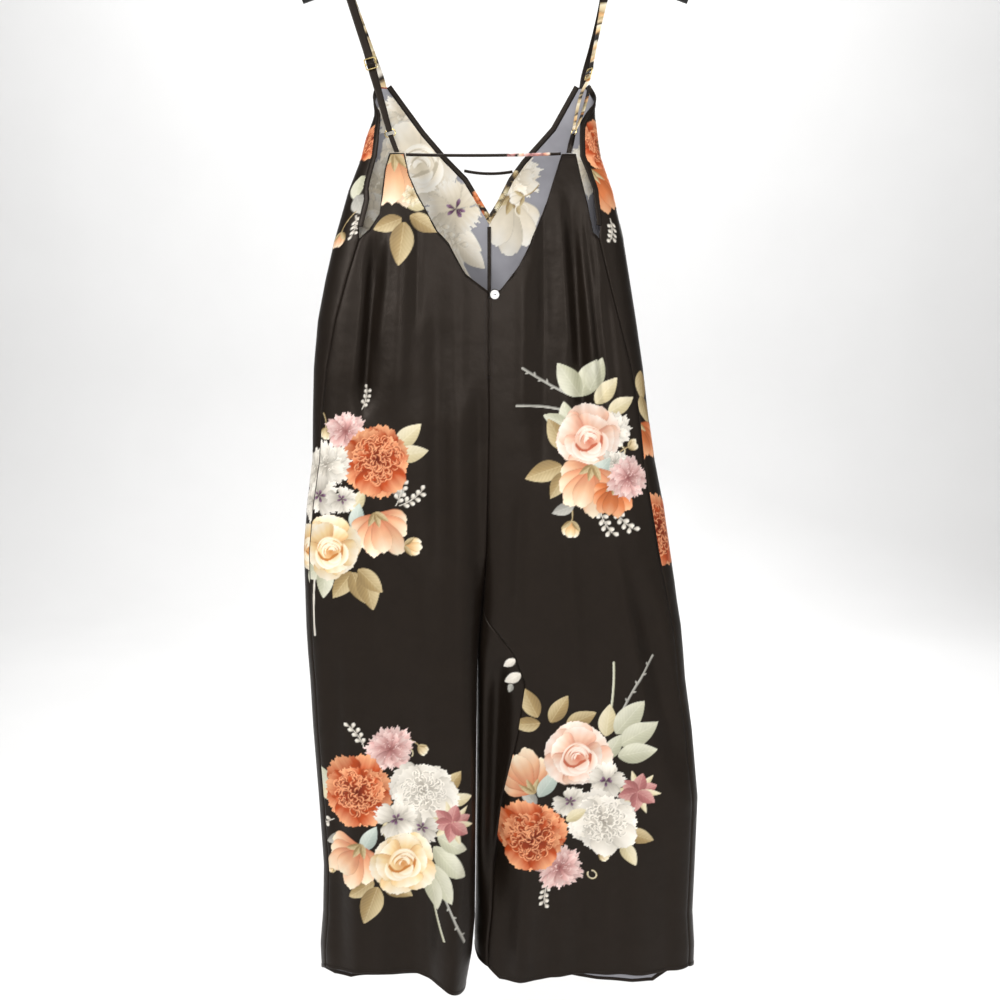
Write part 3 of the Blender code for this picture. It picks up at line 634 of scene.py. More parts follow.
def shell_grid(panel, surface):
    """The panel's own points from its top edge to its hem."""
    shares = np.linspace(0.0, 1.0, SHELL_COLUMNS)
    tips = [arc / panel.whole for arc in panel.tip]
    for tip in tips:
        shares[np.argmin(abs(shares - tip))] = tip
    top = table_height(panel.top, shares * panel.whole)
    foot = table_height(panel.hem, shares)
    down = np.linspace(0.0, 1.0, SHELL_ROWS)[:, None]
    heights = top * (1 - down) + foot * down
    across = np.broadcast_to(shares, heights.shape)
    return look_up(surface.points, across, heights)


def add_panel(panel, finishes):
    points = shell_grid(panel, MAPS[panel.name])
    flip = (panel.sheet == "near") == (panel.side > 0)
    rows, columns = points.shape[:2]
    made = mesh_object(
        panel.name + "_cloth", points.reshape(-1, 3), grid_faces(rows, columns, flip),
        (finishes["satin"], finishes["wrong"]),
    )
    thicken(made, WALL, inside=1)
    return keep(made, panel.name)


# The flower print


class Paint:
    """Colours being laid on points of the cloth, in its own millimetres."""

    def __init__(self, x, z, ground):
        self.x = x
        self.z = z
        self.colour = np.tile(hex_colour(ground), (len(x), 1))
        self.cover = np.zeros(len(x))

    def near(self, x, z, reach):
        return np.nonzero((abs(self.x - x) < reach) & (abs(self.z - z) < reach))[0]

    def lay(self, which, colour, cover):
        cover = np.clip(cover, 0.0, 1.0)
        self.colour[which] += (colour - self.colour[which]) * cover[:, None]
        self.cover[which] = np.maximum(self.cover[which], cover)


def turned(paint, which, x, z, angle):
    """Places of points along and across a direction from a spot, in millimetres."""
    dx = paint.x[which] - x
    dz = paint.z[which] - z
    return dx * math.cos(angle) + dz * math.sin(angle), dz * math.cos(angle) - dx * math.sin(angle)


def between(tones, t):
    """The three tones blended along t, from 0 to 1."""
    dark, middle, light = tones
    t = np.clip(t, 0.0, 1.0)[:, None]
    return np.where(t < 0.5, dark + (middle - dark) * 2 * t, middle + (light - middle) * (2 * t - 1))


def lay_petal(paint, x, z, angle, length, width, tones, ruffle=0.0):
    """A broad petal: deep at its foot, light at its rim, with faint streaks and a dark line round it."""
    which = paint.near(x, z, length * 1.2)
    along, across = turned(paint, which, x, z, angle)
    wave = across * (0.5 + 4.0 * ruffle)
    fringe = 1.0 + ruffle * (np.sin(wave + angle * 7.0) + 0.6 * np.sin(2.3 * wave + angle * 11.0))
    share = along / length / fringe
    within = (share > 0.0) & (share < 1.0)
    share = np.clip(share, 0.0, 1.0)
    half = width * np.sin(math.pi * share**1.7) ** 0.6
    inside = np.where(within, half - abs(across), -2.0)
    fan_out = across / np.maximum(along, 1.0)
    streak = 0.05 * np.sin(fan_out * 17.0 + angle * 3.0) * share
    tone = 0.02 + 1.0 * share**1.3 + streak - 0.22 * (across / width) ** 2
    rim = np.clip(1.0 - inside / 1.0, 0.0, 1.0)[:, None]
    tint = between(tones, tone) * (1.0 - 0.3 * rim)
    paint.lay(which, tint, inside / 0.9 + 0.5)


# Rings of petals from the outermost: how many, their length and half width as shares of the bloom's size,
# the turn of the first one and how ruffled their rims are
Ring = namedtuple("Ring", "count reach width turn ruffle")
RINGS = {
    "peony": [Ring(7, 1.0, 0.5, 0.0, 0.03), Ring(6, 0.84, 0.44, 0.5, 0.04)],
    "rose": [Ring(6, 1.08, 0.58, 0.0, 0.012), Ring(5, 0.88, 0.5, 0.6, 0.012)],
    "carnation": [Ring(11, 1.0, 0.3, 0.0, 0.07), Ring(9, 0.76, 0.26, 0.3, 0.08)],
    "open": [Ring(5, 1.0, 0.5, 0.0, 0.08)],
}
OPEN_STAR = Ring(5, 0.34, 0.07, 0.6, 0.0)


def lay_ring(paint, motif, tones, ring, chance):
    """A ring of petals round a bloom's middle, no two quite alike."""
    turn = math.radians(motif.turn) + ring.turn
    for index in range(ring.count):
        angle = turn + 2 * math.pi * (index + 0.5 * chance.random()) / ring.count
        long = motif.size * ring.reach * (0.8 + 0.28 * chance.random())
        broad = motif.size * ring.width * (0.85 + 0.3 * chance.random())
        shade = 0.8 + 0.3 * chance.random()
        lay_petal(paint, motif.x, motif.z, angle, long, broad, [tone * shade for tone in tones], ring.ruffle)


def lay_rings(paint, motif, tones, chance):
    for ring in RINGS[motif.kind]:
        lay_ring(paint, motif, tones, ring, chance)


def lay_curl(paint, x, z, angle, radius, width, span, tones):
    """The rolled lip of an inner petal: a crescent with a light outer edge and a shadow below it."""
    which = paint.near(x, z, radius + width * 2)
    dx = paint.x[which] - x
    dz = paint.z[which] - z
    far = np.hypot(dx, dz)
    swing = (np.arctan2(dz, dx) - angle + math.pi) % (2 * math.pi) - math.pi
    fade = np.clip(1.0 - (swing / span) ** 2, 0.0, 1.0)
    shadow = width * 1.2 * fade - abs(far - radius + width * 0.9)
    paint.lay(which, tones[0] * 0.9, np.where(fade > 0, 0.85 * shadow, 0.0))
    lip = width * fade - abs(far - radius)
    tint = between(tones, 0.8 + 0.35 * (far - radius) / width)
    paint.lay(which, tint, np.where(fade > 0, lip / 0.7 + 0.4, 0.0))


def lay_heart(paint, x, z, size, tones, count, chance):
    """The crowded middle of a peony: curls turned every way, the lowest ones first."""
    for _ in range(count):
        angle = 2 * math.pi * chance.random()
        out = size * math.sqrt(chance.random())
        facing = angle + 4.0 * (chance.random() - 0.5)
        lay_curl(
            paint, x + out * math.cos(angle), z + out * math.sin(angle), facing,
            size * (0.07 + 0.13 * chance.random()), size * (0.03 + 0.02 * chance.random()),
            0.8 + 0.9 * chance.random(), tones,
        )


# The two lips below a peony's middle: their turn from straight down, and their length and half width
PEONY_LIPS = (-0.5, 0.45)
LIP_LENGTH = 1.04
LIP_WIDTH = 0.4
PEONY_HEART = 0.6
PEONY_CURLS = 150


def lay_peony(paint, motif, tones, chance):
    x, z, size = motif.x, motif.z, motif.size
    lay_rings(paint, motif, tones, chance)
    drop = math.radians(motif.turn - 90.0)
    for spread in PEONY_LIPS:
        lay_petal(paint, x, z, drop + spread, size * LIP_LENGTH, size * LIP_WIDTH, tones, 0.02)
    lay_heart(paint, x, z, size * PEONY_HEART, tones, PEONY_CURLS, chance)


# The curls of a rose's middle, and the turn and the radius of the broad lips below them
ROSE_CURLS = 10
ROSE_LIPS = ((-1.0, 0.5), (1.0, 0.48), (-0.25, 0.4), (0.35, 0.3))


def lay_rose(paint, motif, tones, chance):
    x, z, size = motif.x, motif.z, motif.size
    turn = math.radians(motif.turn)
    lay_rings(paint, motif, tones, chance)
    up = turn + math.pi / 2
    heart_x = x - 0.14 * size * math.cos(up)
    heart_z = z - 0.14 * size * math.sin(up)
    which = paint.near(heart_x, heart_z, size * 0.6)
    along, across = turned(paint, which, heart_x, heart_z, up)
    far = np.hypot(along / 0.52, across / 0.44) / size
    paint.lay(which, between(tones, 0.05 + 0.6 * far), (1.0 - far) * size * 0.4)
    for index in range(ROSE_CURLS):
        swing = up + 0.7 * math.pi * (chance.random() - 0.5)
        lay_curl(
            paint, heart_x, heart_z, swing, size * (0.46 - 0.04 * index),
            size * (0.025 + 0.02 * chance.random()), 0.7 + 0.6 * chance.random(), tones,
        )
    for spread, reach in ROSE_LIPS:
        lay_curl(paint, heart_x, heart_z, up + math.pi + spread, size * reach, size * 0.1, 0.95, tones)


# The size of a carnation's crowded middle as a share of the bloom's, and its curls
CARNATION_HEART = 0.45
CARNATION_CURLS = 22


def lay_carnation(paint, motif, tones, chance):
    lay_rings(paint, motif, tones, chance)
    lay_heart(paint, motif.x, motif.z, motif.size * CARNATION_HEART, tones, CARNATION_CURLS, chance)


# The turn and the length of each petal of a bloom seen from its side, from the outer ones to the middle
FAN_PETALS = ((-1.3, 1.3), (1.25, 1.35), (-0.8, 1.6), (0.85, 1.7), (-0.4, 1.9), (0.35, 2.05), (-0.05, 1.8))
# How far its petals' foot and its sepals' foot lie below its middle
FAN_FOOT = 0.9
SEPAL_FOOT = 0.95


def lay_fan(paint, motif, tones, chance):
    """A bloom seen from its side, its petals spread over half a turn from a green foot."""
    x, z, size = motif.x, motif.z, motif.size
    turn = math.radians(motif.turn)
    foot_x = x - FAN_FOOT * size * math.cos(turn)
    foot_z = z - FAN_FOOT * size * math.sin(turn)
    for spread, reach in FAN_PETALS:
        long = size * reach * (0.94 + 0.12 * chance.random())
        shade = 0.84 + 0.26 * chance.random()
        shaded = [tone * shade for tone in tones]
        lay_petal(paint, foot_x, foot_z, turn + spread * 0.8, long, size * 0.46, shaded, 0.015)
    sepals = tones_of(KHAKI)
    foot_x = x - SEPAL_FOOT * size * math.cos(turn)
    foot_z = z - SEPAL_FOOT * size * math.sin(turn)
    for spread in (-0.7, 0.0, 0.7):
        lay_leaf(paint, foot_x, foot_z, turn + spread, size * 0.7, size * 0.12, sepals)


def lay_open(paint, motif, tones, chance):
    """A flat bloom of a few petals with a dark star in its middle."""
    lay_rings(paint, motif, tones, chance)
    lay_ring(paint, motif, tones_of(PURPLE), OPEN_STAR, chance)


def lay_star(paint, motif, tones, chance):
    """A bloom of narrow pointed petals with pale sepals behind them."""
    x, z, size = motif.x, motif.z, motif.size
    sepals = tones_of(CREAM_LEAF)
    for index in range(6):
        angle = math.radians(motif.turn) + math.pi / 3 * (index + 0.3 * chance.random())
        lay_leaf(paint, x, z, angle + 0.5, size * 1.15, size * 0.16, sepals)
        lay_leaf(paint, x, z, angle, size, size * 0.3, tones)


def lay_leaf(paint, x, z, angle, length, width, tones):
    """A leaf from its foot to its tip, one half lighter, with a light midrib and side veins."""
    which = paint.near(x, z, length * 1.1)
    along, across = turned(paint, which, x, z, angle)
    share = np.clip(along / length, 0.0, 1.0)
    half = width * 1.12 * np.sin(math.pi * share**0.8) ** 0.85
    inside = np.where((along > 0) & (along < length), half - abs(across), -2.0)
    veins = np.sin((along - abs(across) * 1.1) * 1.1)
    lean = smooth_step(0.5 + 0.5 * across / width)
    tone = 0.25 + 0.035 * veins + 0.45 * lean + 0.2 * share
    tint = between(tones, tone)
    rib = np.clip(1.0 - abs(across) / 0.8, 0.0, 1.0)[:, None]
    paint.lay(which, tint + (tones[2] - tint) * 0.45 * rib, inside / 0.8 + 0.5)


def lay_line(paint, points, width, tones):
    """A stem through points, drawn as a chain of short straight runs."""
    points = np.array(points, float)
    for start, end in zip(points[:-1], points[1:]):
        run = end - start
        length = float(np.hypot(*run))
        middle = (start + end) / 2
        which = paint.near(middle[0], middle[1], length / 2 + width * 2)
        along, across = turned(paint, which, start[0], start[1], math.atan2(run[1], run[0]))
        out = np.maximum(np.maximum(-along, along - length), 0.0)
        tint = between(tones, 0.55 + 0.4 * across / width)
        paint.lay(which, tint, (width - np.hypot(across, out)) / 0.7 + 0.5)


def arc_points(x, z, turn, length, bend, count=7):
    """Points of a bowed stem from a spot, in a direction that turns by bend over its length."""
    points = [(x, z)]
    angle = math.radians(turn)
    for _ in range(count):
        x += length / count * math.cos(angle)
        z += length / count * math.sin(angle)
        angle += math.radians(bend) / count
        points.append((x, z))
    return points


def lay_bud(paint, motif, tones, chance):
    x, z, size = motif.x, motif.z, motif.size
    angle = math.radians(motif.turn)
    green = tones_of(KHAKI)
    lay_line(paint, arc_points(x, z, motif.turn + 180, size * 1.3, 40), 0.8, green)
    for spread in (-0.5, 0.5, 0.0):
        lay_petal(paint, x, z, angle + spread * 0.7, size * (0.9 + 0.2 * chance.random()), size * 0.3, tones)
    for spread in (-0.8, 0.8):
        lay_leaf(paint, x, z, angle + spread, size * 0.8, size * 0.13, green)


def lay_sprig(paint, motif, tones, chance):
    points = arc_points(motif.x, motif.z, motif.turn, motif.size, 30, 8)
    lay_line(paint, points, 0.6, tones)
    for index, (x, z) in enumerate(points[1:]):
        angle = math.radians(motif.turn) + (0.8 if index % 2 else -0.8) + 0.3 * chance.random()
        lay_petal(paint, x, z, angle, motif.size * 0.26, motif.size * 0.08, tones)


def lay_spray(paint, motif, tones, chance):
    """Leaves, stems and tendrils."""
    x, z, size = motif.x, motif.z, motif.size
    angle = math.radians(motif.turn)
    if motif.kind == "leaf":
        lay_leaf(paint, x, z, angle, size, size * 0.24, tones)
    if motif.kind == "pair":
        for spread in (-0.5, 0.5):
            lay_leaf(paint, x, z, angle + spread, size * (0.8 + 0.3 * chance.random()), size * 0.24, tones)
    if motif.kind == "stem":
        lay_line(paint, arc_points(x, z, motif.turn, size, 12), 1.5, tones)
    if motif.kind == "thorny_stem":
        points = arc_points(x, z, motif.turn, size, -8)
        lay_line(paint, points, 1.5, tones)
        for index, (px, pz) in enumerate(points[1:-1]):
            side = 1 if index % 2 else -1
            lay_leaf(paint, px, pz, angle + side * 0.9, 5.6, 1.2, tones)
    if motif.kind == "tendril":
        lay_line(paint, arc_points(x, z, motif.turn, size, 300, 16), 0.8, tones)


PAINTERS = {
    "peony": lay_peony,
    "rose": lay_rose,
    "carnation": lay_carnation,
    "fan": lay_fan,
    "open": lay_open,
    "star": lay_star,
    "bud": lay_bud,
    "sprig": lay_sprig,
}
Motif = namedtuple("Motif", "kind x z size turn tones")

# Motifs of each bouquet from the lowest layer up: their place in the picture's 1000 by 1000 frame, across and
# down, then size in millimetres (a bloom's half width, a leaf's length), turn in degrees and tones.
Spot = namedtuple("Spot", "kind across down size turn tones")
LEFT_HIP = [
    Spot("sprig", 362, 408, 26, 62, WHITE),
    Spot("stem", 316, 566, 96, 262, WHITE),
    Spot("pair", 352, 572, 46, 262, KHAKI),
    Spot("leaf", 364, 568, 56, 282, KHAKI),
    Spot("leaf", 358, 570, 44, 315, KHAKI),
    Spot("pair", 326, 566, 44, 235, PALE_LEAF),
    Spot("leaf", 396, 446, 44, 42, CREAM_LEAF),
    Spot("leaf", 396, 456, 42, 10, CREAM_LEAF),
    Spot("leaf", 388, 480, 30, 318, GREY_LEAF),
    Spot("sprig", 396, 506, 34, 62, WHITE),
    Spot("sprig", 400, 506, 34, 20, WHITE),
    Spot("tendril", 338, 424, 30, 130, CREAM_LEAF),
    Spot("bud", 326, 428, 15, 262, CREAM),
    Spot("bud", 404, 546, 22, 352, YELLOW),
    Spot("leaf", 352, 512, 34, 60, CREAM_LEAF),
    Spot("carnation", 346, 430, 27, 20, PINK),
    Spot("peony", 377, 458, 47, 10, RUST),
    Spot("carnation", 326, 466, 35, 0, WHITE),
    Spot("open", 320, 496, 27, 20, WHITE),
    Spot("leaf", 354, 530, 36, 78, BLUE_LEAF),
    Spot("fan", 381, 533, 30, 285, CORAL),
    Spot("rose", 330, 549, 41, 15, YELLOW),
    Spot("open", 342, 500, 20, 0, WHITE),
]
RIGHT_HIP = [
    Spot("thorny_stem", 568, 394, 66, 154, GREY_LEAF),
    Spot("stem", 562, 408, 58, 170, GREY_LEAF),
    Spot("pair", 580, 396, 54, 96, PALE_LEAF),
    Spot("leaf", 590, 392, 44, 70, PALE_LEAF),
    Spot("leaf", 596, 404, 42, 50, CREAM_LEAF),
    Spot("pair", 568, 424, 34, 130, PALE_LEAF),
    Spot("leaf", 566, 450, 46, 120, KHAKI),
    Spot("leaf", 562, 466, 50, 200, KHAKI),
    Spot("leaf", 566, 472, 40, 240, KHAKI),
    Spot("leaf", 608, 412, 38, 30, CREAM_LEAF),
    Spot("tendril", 618, 456, 36, 350, CREAM_LEAF),
    Spot("bud", 628, 448, 14, 20, CREAM),
    Spot("bud", 572, 520, 22, 262, YELLOW),
    Spot("leaf", 574, 506, 30, 200, GREY_LEAF),
    Spot("sprig", 600, 508, 36, 284, WHITE),
    Spot("sprig", 614, 508, 36, 300, WHITE),
    Spot("carnation", 612, 432, 28, 0, WHITE),
    Spot("rose", 588, 438, 42, 20, ROSE),
    Spot("carnation", 614, 462, 18, 0, WHITE),
    Spot("leaf", 590, 480, 40, 50, BLUE_LEAF),
    Spot("fan", 587, 488, 32, 255, CORAL),
    Spot("fan", 612, 500, 22, 262, ORANGE),
    Spot("carnation", 628, 478, 28, 0, PINK),
]
LEFT_LEG = [
    Spot("sprig", 364, 748, 34, 110, WHITE),
    Spot("sprig", 334, 818, 36, 200, WHITE),
    Spot("pair", 332, 800, 46, 96, CREAM_LEAF),
    Spot("leaf", 334, 790, 40, 120, PALE_LEAF),
    Spot("stem", 430, 880, 84, 278, PALE_LEAF),
    Spot("thorny_stem", 436, 876, 102, 296, GREY_LEAF),
    Spot("leaf", 374, 880, 42, 215, KHAKI),
    Spot("leaf", 378, 888, 58, 250, KHAKI),
    Spot("leaf", 384, 884, 44, 330, KHAKI),
    Spot("leaf", 446, 790, 36, 55, KHAKI),
    Spot("leaf", 448, 800, 34, 5, CREAM_LEAF),
    Spot("leaf", 434, 846, 58, 318, PALE_LEAF),
    Spot("leaf", 432, 862, 58, 300, PALE_LEAF),
    Spot("leaf", 430, 874, 48, 282, PALE_LEAF),
    Spot("leaf", 438, 836, 44, 335, PALE_LEAF),
    Spot("tendril", 412, 756, 32, 60, CREAM_LEAF),
    Spot("bud", 419, 746, 15, 320, CREAM),
    Spot("bud", 338, 864, 20, 190, YELLOW),
    Spot("leaf", 344, 838, 30, 200, GREY_LEAF),
    Spot("carnation", 390, 748, 34, 0, PINK),
    Spot("peony", 358, 792, 51, 5, RUST),
    Spot("leaf", 384, 822, 36, 300, CREAM_LEAF),
    Spot("peony", 424, 790, 47, 25, WHITE),
    Spot("star", 452, 824, 27, 12, MAUVE),
    Spot("open", 422, 826, 25, 20, WHITE),
    Spot("open", 396, 818, 28, 0, WHITE),
    Spot("leaf", 362, 852, 40, 60, BLUE_LEAF),
    Spot("fan", 350, 862, 32, 238, CORAL),
    Spot("rose", 402, 858, 44, 10, YELLOW),
]
RIGHT_LEG = [
    Spot("stem", 610, 716, 76, 82, PALE_LEAF),
    Spot("thorny_stem", 618, 720, 98, 66, GREY_LEAF),
    Spot("leaf", 538, 716, 46, 118, KHAKI),
    Spot("leaf", 540, 724, 38, 190, KHAKI),
    Spot("leaf", 550, 722, 44, 58, KHAKI),
    Spot("leaf", 566, 728, 46, 28, KHAKI),
    Spot("leaf", 606, 736, 46, 84, CREAM_LEAF),
    Spot("leaf", 616, 732, 60, 52, PALE_LEAF),
    Spot("leaf", 620, 744, 60, 32, PALE_LEAF),
    Spot("leaf", 618, 756, 54, 10, PALE_LEAF),
    Spot("leaf", 606, 758, 40, 60, PALE_LEAF),
    Spot("leaf", 536, 806, 34, 130, GREY_LEAF),
    Spot("sprig", 548, 880, 34, 248, WHITE),
    Spot("leaf", 626, 832, 40, 340, KHAKI),
    Spot("leaf", 622, 842, 38, 300, CREAM_LEAF),
    Spot("tendril", 588, 872, 32, 250, CREAM_LEAF),
    Spot("bud", 600, 852, 15, 320, CREAM),
    Spot("fan", 524, 772, 32, 118, CORAL),
    Spot("leaf", 538, 796, 44, 52, BLUE_LEAF),
    Spot("rose", 577, 754, 46, 15, ROSE),
    Spot("star", 638, 792, 28, 10, MAUVE),
    Spot("open", 606, 782, 27, 0, WHITE),
    Spot("open", 570, 800, 24, 15, WHITE),
    Spot("carnation", 560, 868, 34, 0, PINK),
    Spot("peony", 604, 822, 48, 30, WHITE),
    Spot("leaf", 566, 822, 32, 30, CREAM_LEAF),
    Spot("peony", 532, 838, 51, 0, RUST),
]
LEFT_TIP = [
    Spot("leaf", 402, 218, 38, 200, KHAKI),
    Spot("leaf", 404, 222, 54, 262, KHAKI),
    Spot("leaf", 410, 216, 40, 330, KHAKI),
    Spot("leaf", 406, 204, 34, 10, CREAM_LEAF),
    Spot("fan", 394, 178, 34, 268, PEACH),
    Spot("carnation", 412, 196, 13, 10, CREAM),
]
LEFT_SIDE = [
    Spot("leaf", 362, 176, 34, 240, PALE_LEAF),
    Spot("leaf", 356, 196, 34, 220, GREY_LEAF),
    Spot("bud", 342, 232, 20, 262, PEACH),
    Spot("sprig", 356, 216, 26, 230, WHITE),
    Spot("peony", 372, 140, 26, 0, RUST),
]
RIGHT_SIDE = [
    Spot("peony", 600, 150, 34, 0, RUST),
    Spot("fan", 604, 190, 26, 268, ORANGE),
    Spot("sprig", 610, 218, 28, 285, WHITE),
]
LEFT_HIP_SIDE = [
    Spot("stem", 312, 566, 80, 262, WHITE),
    Spot("leaf", 312, 570, 34, 240, PALE_LEAF),
    Spot("carnation", 318, 470, 30, 0, WHITE),
    Spot("carnation", 314, 500, 26, 0, WHITE),
    Spot("rose", 316, 546, 34, 0, YELLOW),
]
RIGHT_HIP_SIDE = [
    Spot("leaf", 640, 372, 40, 284, KHAKI),
    Spot("leaf", 640, 396, 38, 262, KHAKI),
    Spot("fan", 642, 440, 24, 268, ORANGE),
    Spot("peony", 658, 528, 52, 0, RUST),
]
RIGHT_INNER = [
    Spot("leaf", 518, 658, 20, 318, WHITE),
    Spot("leaf", 522, 672, 26, 322, WHITE),
    Spot("leaf", 512, 684, 14, 285, GREY_LEAF),
]
# Blooms on the front's wrong side, all in the washed tones, whose near-white is partly painted light standing
# in for light inside the garment
LEFT_INSIDE = [
    Spot("pair", 440, 226, 60, 300, WASHED_AND_PAINTED_LIGHT),
    Spot("leaf", 452, 246, 50, 275, WASHED_AND_PAINTED_LIGHT),
    Spot("pair", 404, 146, 44, 300, WASHED_AND_PAINTED_LIGHT),
    Spot("stem", 446, 226, 90, 290, WASHED_AND_PAINTED_LIGHT),
    Spot("leaf", 460, 246, 44, 316, WASHED_AND_PAINTED_LIGHT),
    Spot("leaf", 420, 220, 50, 250, WASHED_AND_PAINTED_LIGHT),
    Spot("carnation", 404, 118, 34, 0, WASHED_AND_PAINTED_LIGHT),
    Spot("rose", 420, 160, 54, 0, WASHED_AND_PAINTED_LIGHT),
    Spot("open", 456, 208, 38, 20, WASHED_AND_PAINTED_LIGHT),
    Spot("carnation", 382, 190, 44, 0, WASHED_AND_PAINTED_LIGHT),
    Spot("rose", 372, 220, 34, 0, WASHED_AND_PAINTED_LIGHT),
    Spot("sprig", 436, 220, 44, 300, WASHED_AND_PAINTED_LIGHT),
]
RIGHT_INSIDE = [
    Spot("carnation", 512, 176, 36, 0, WASHED_AND_PAINTED_LIGHT),
    Spot("fan", 504, 222, 36, 250, WASHED_AND_PAINTED_LIGHT),
    Spot("tendril", 528, 214, 44, 80, WASHED_AND_PAINTED_LIGHT),
    Spot("bud", 524, 196, 18, 200, WASHED_AND_PAINTED_LIGHT),
    Spot("carnation", 590, 168, 34, 0, WASHED_AND_PAINTED_LIGHT),
]


def in_picture(points):
    """Where points in millimetres fall in the picture, across and down."""
    reach = points[..., 1] * MM - CAMERA_AT.y
    rise = points[..., 2] * MM - CAMERA_AT.z
    away = reach * math.cos(LOOK_DOWN) - rise * math.sin(LOOK_DOWN)
    up = reach * math.sin(LOOK_DOWN) + rise * math.cos(LOOK_DOWN)
    across = PICTURE_SIDE / 2 + FOCUS_PIXELS * (points[..., 0] * MM - CAMERA_AT.x) / away
    return across, PICTURE_SIDE / 2 - FOCUS_PIXELS * up / away


def placed(spots, panel, inside=False):
    """Motifs on a panel's own cloth, each at the spot of the face turned to the viewer that shows there."""
    surface = MAPS[panel.name]
    across, down = in_picture(surface.points)
    to_viewer = (surface.normals[..., 1] > 0) == inside
    made = []
    for spot in spots:
        miss = (across - spot.across) ** 2 + (down - spot.down) ** 2 + np.where(to_viewer, 0.0, 1e6)
        level, column = np.unravel_index(np.argmin(miss), miss.shape)
        made.append(
            Motif(spot.kind, surface.cloth_x[level, column], surface.points[level, column, 2],
                  spot.size, spot.turn, spot.tones)
        )
    return made


def carried(motifs, shift, flip=False, over=False):
    """A bouquet carried elsewhere on the cloth, mirrored or turned over, as a repeat of the print is."""
    middle_x = sum(motif.x for motif in motifs) / len(motifs)
    middle_z = sum(motif.z for motif in motifs) / len(motifs)
    made = []
    for motif in motifs:
        dx = motif.x - middle_x
        dz = motif.z - middle_z
        turn = motif.turn
        if flip:
            dx, turn = -dx, 180 - turn
        if over:
            dx, dz, turn = -dx, -dz, turn + 180
        made.append(motif._replace(x=shift[0] + dx, z=shift[1] + dz, turn=turn))
    return made


# How much of the wrong side's grey the print takes on there
WASH_GREY = 0.1


def paint_motifs(paint, motifs, wash):
    grey = hex_colour(WRONG_GREY_AND_PAINTED_LIGHT)
    for index, motif in enumerate(motifs):
        tones = tones_of(motif.tones)
        if wash:
            tones = [tone * (1.0 - WASH_GREY) + grey * WASH_GREY for tone in tones]
        chance = np.random.default_rng(17 * index + 5)
        PAINTERS.get(motif.kind, lay_spray)(paint, motif, tones, chance)


# Strips, edges and stitches


def sweep(name, spine, ups, outs, profile, finish, node=None, patches=(), closed=True):
    """A strip of one profile along a line. Its colours are cut from the print where a patch says so."""
    spine, ups, outs = (np.asarray(rows, float) for rows in (spine, ups, outs))
    u = np.array([corner[0] for corner in profile])
    v = np.array([corner[1] for corner in profile])
    rings = spine[:, None] + u[None, :, None] * ups[:, None] + v[None, :, None] * outs[:, None]
    count = len(profile)
    faces = []
    for r in range(len(spine) - 1):
        for c in range(count):
            first, second = r * count + c, r * count + (c + 1) % count
            faces.append((first, second, second + count, first + count))
    if closed:
        faces.append(tuple(reversed(range(count))))
        faces.append(tuple(range((len(spine) - 1) * count, len(spine) * count)))
    made = mesh_object(name, rings.reshape(-1, 3), faces, (finish,))
    outward = bmesh.new()
    outward.from_mesh(made.data)
    bmesh.ops.recalc_face_normals(outward, faces=outward.faces)
    outward.to_mesh(made.data)
    outward.free()
    along = np.concatenate([[0.0], np.cumsum(np.linalg.norm(np.diff(spine, axis=0), axis=1))])
    paint = Paint(np.tile(u, len(spine)), np.repeat(-along, count), CLOTH_BLACK)
    for patch in patches:
        lay_scraps(paint, patch)
    layer = made.data.color_attributes.new("print", "FLOAT_COLOR", "POINT")
    colours = np.column_stack([paint.colour, np.ones(len(paint.colour))])
    layer.data.foreach_set("color", colours.astype(np.float32).ravel())
    return keep(made, node)


# A stretch of a strip, in millimetres along it, where bits of flower happen to be cut across
Patch = namedtuple("Patch", "start finish tones seed")
SCRAP_STEP = 2.2
SCRAP_SPREAD = 6.0
SCRAP_LENGTH = 9.0
SCRAP_WIDTH = 3.6


def lay_scraps(paint, patch):
    chance = np.random.default_rng(patch.seed)
    tones = [tones_of(group) for group in patch.tones]
    for place in np.arange(patch.start, patch.finish, SCRAP_STEP):
        group = tones[chance.integers(len(tones))]
        x = SCRAP_SPREAD * (chance.random() - 0.5)
        angle = 2 * math.pi * chance.random()
        lay_petal(paint, x, -place, angle, SCRAP_LENGTH * (1.0 + chance.random()), SCRAP_WIDTH, group)


def edge_line(panel, low, high, count, level, inward=4.0):
    """Points along a panel's top edge or hem, with the way out of the cloth there and its normal."""
    surface = MAPS[panel.name]
    shares = np.linspace(low, high, count)
    if level == "top":
        heights = table_height(panel.top, shares * panel.whole)
        inner = heights - inward
    else:
        heights = table_height(panel.hem, shares)
        inner = heights + inward
    edge = look_up(surface.points, shares, heights)
    within = look_up(surface.points, shares, inner)
    along = np.gradient(edge, axis=0)
    along /= np.linalg.norm(along, axis=1, keepdims=True)
    out = edge - within
    out -= np.sum(out * along, axis=1, keepdims=True) * along
    out /= np.linalg.norm(out, axis=1, keepdims=True)
    return edge, out, look_up(surface.normals, shares, heights)


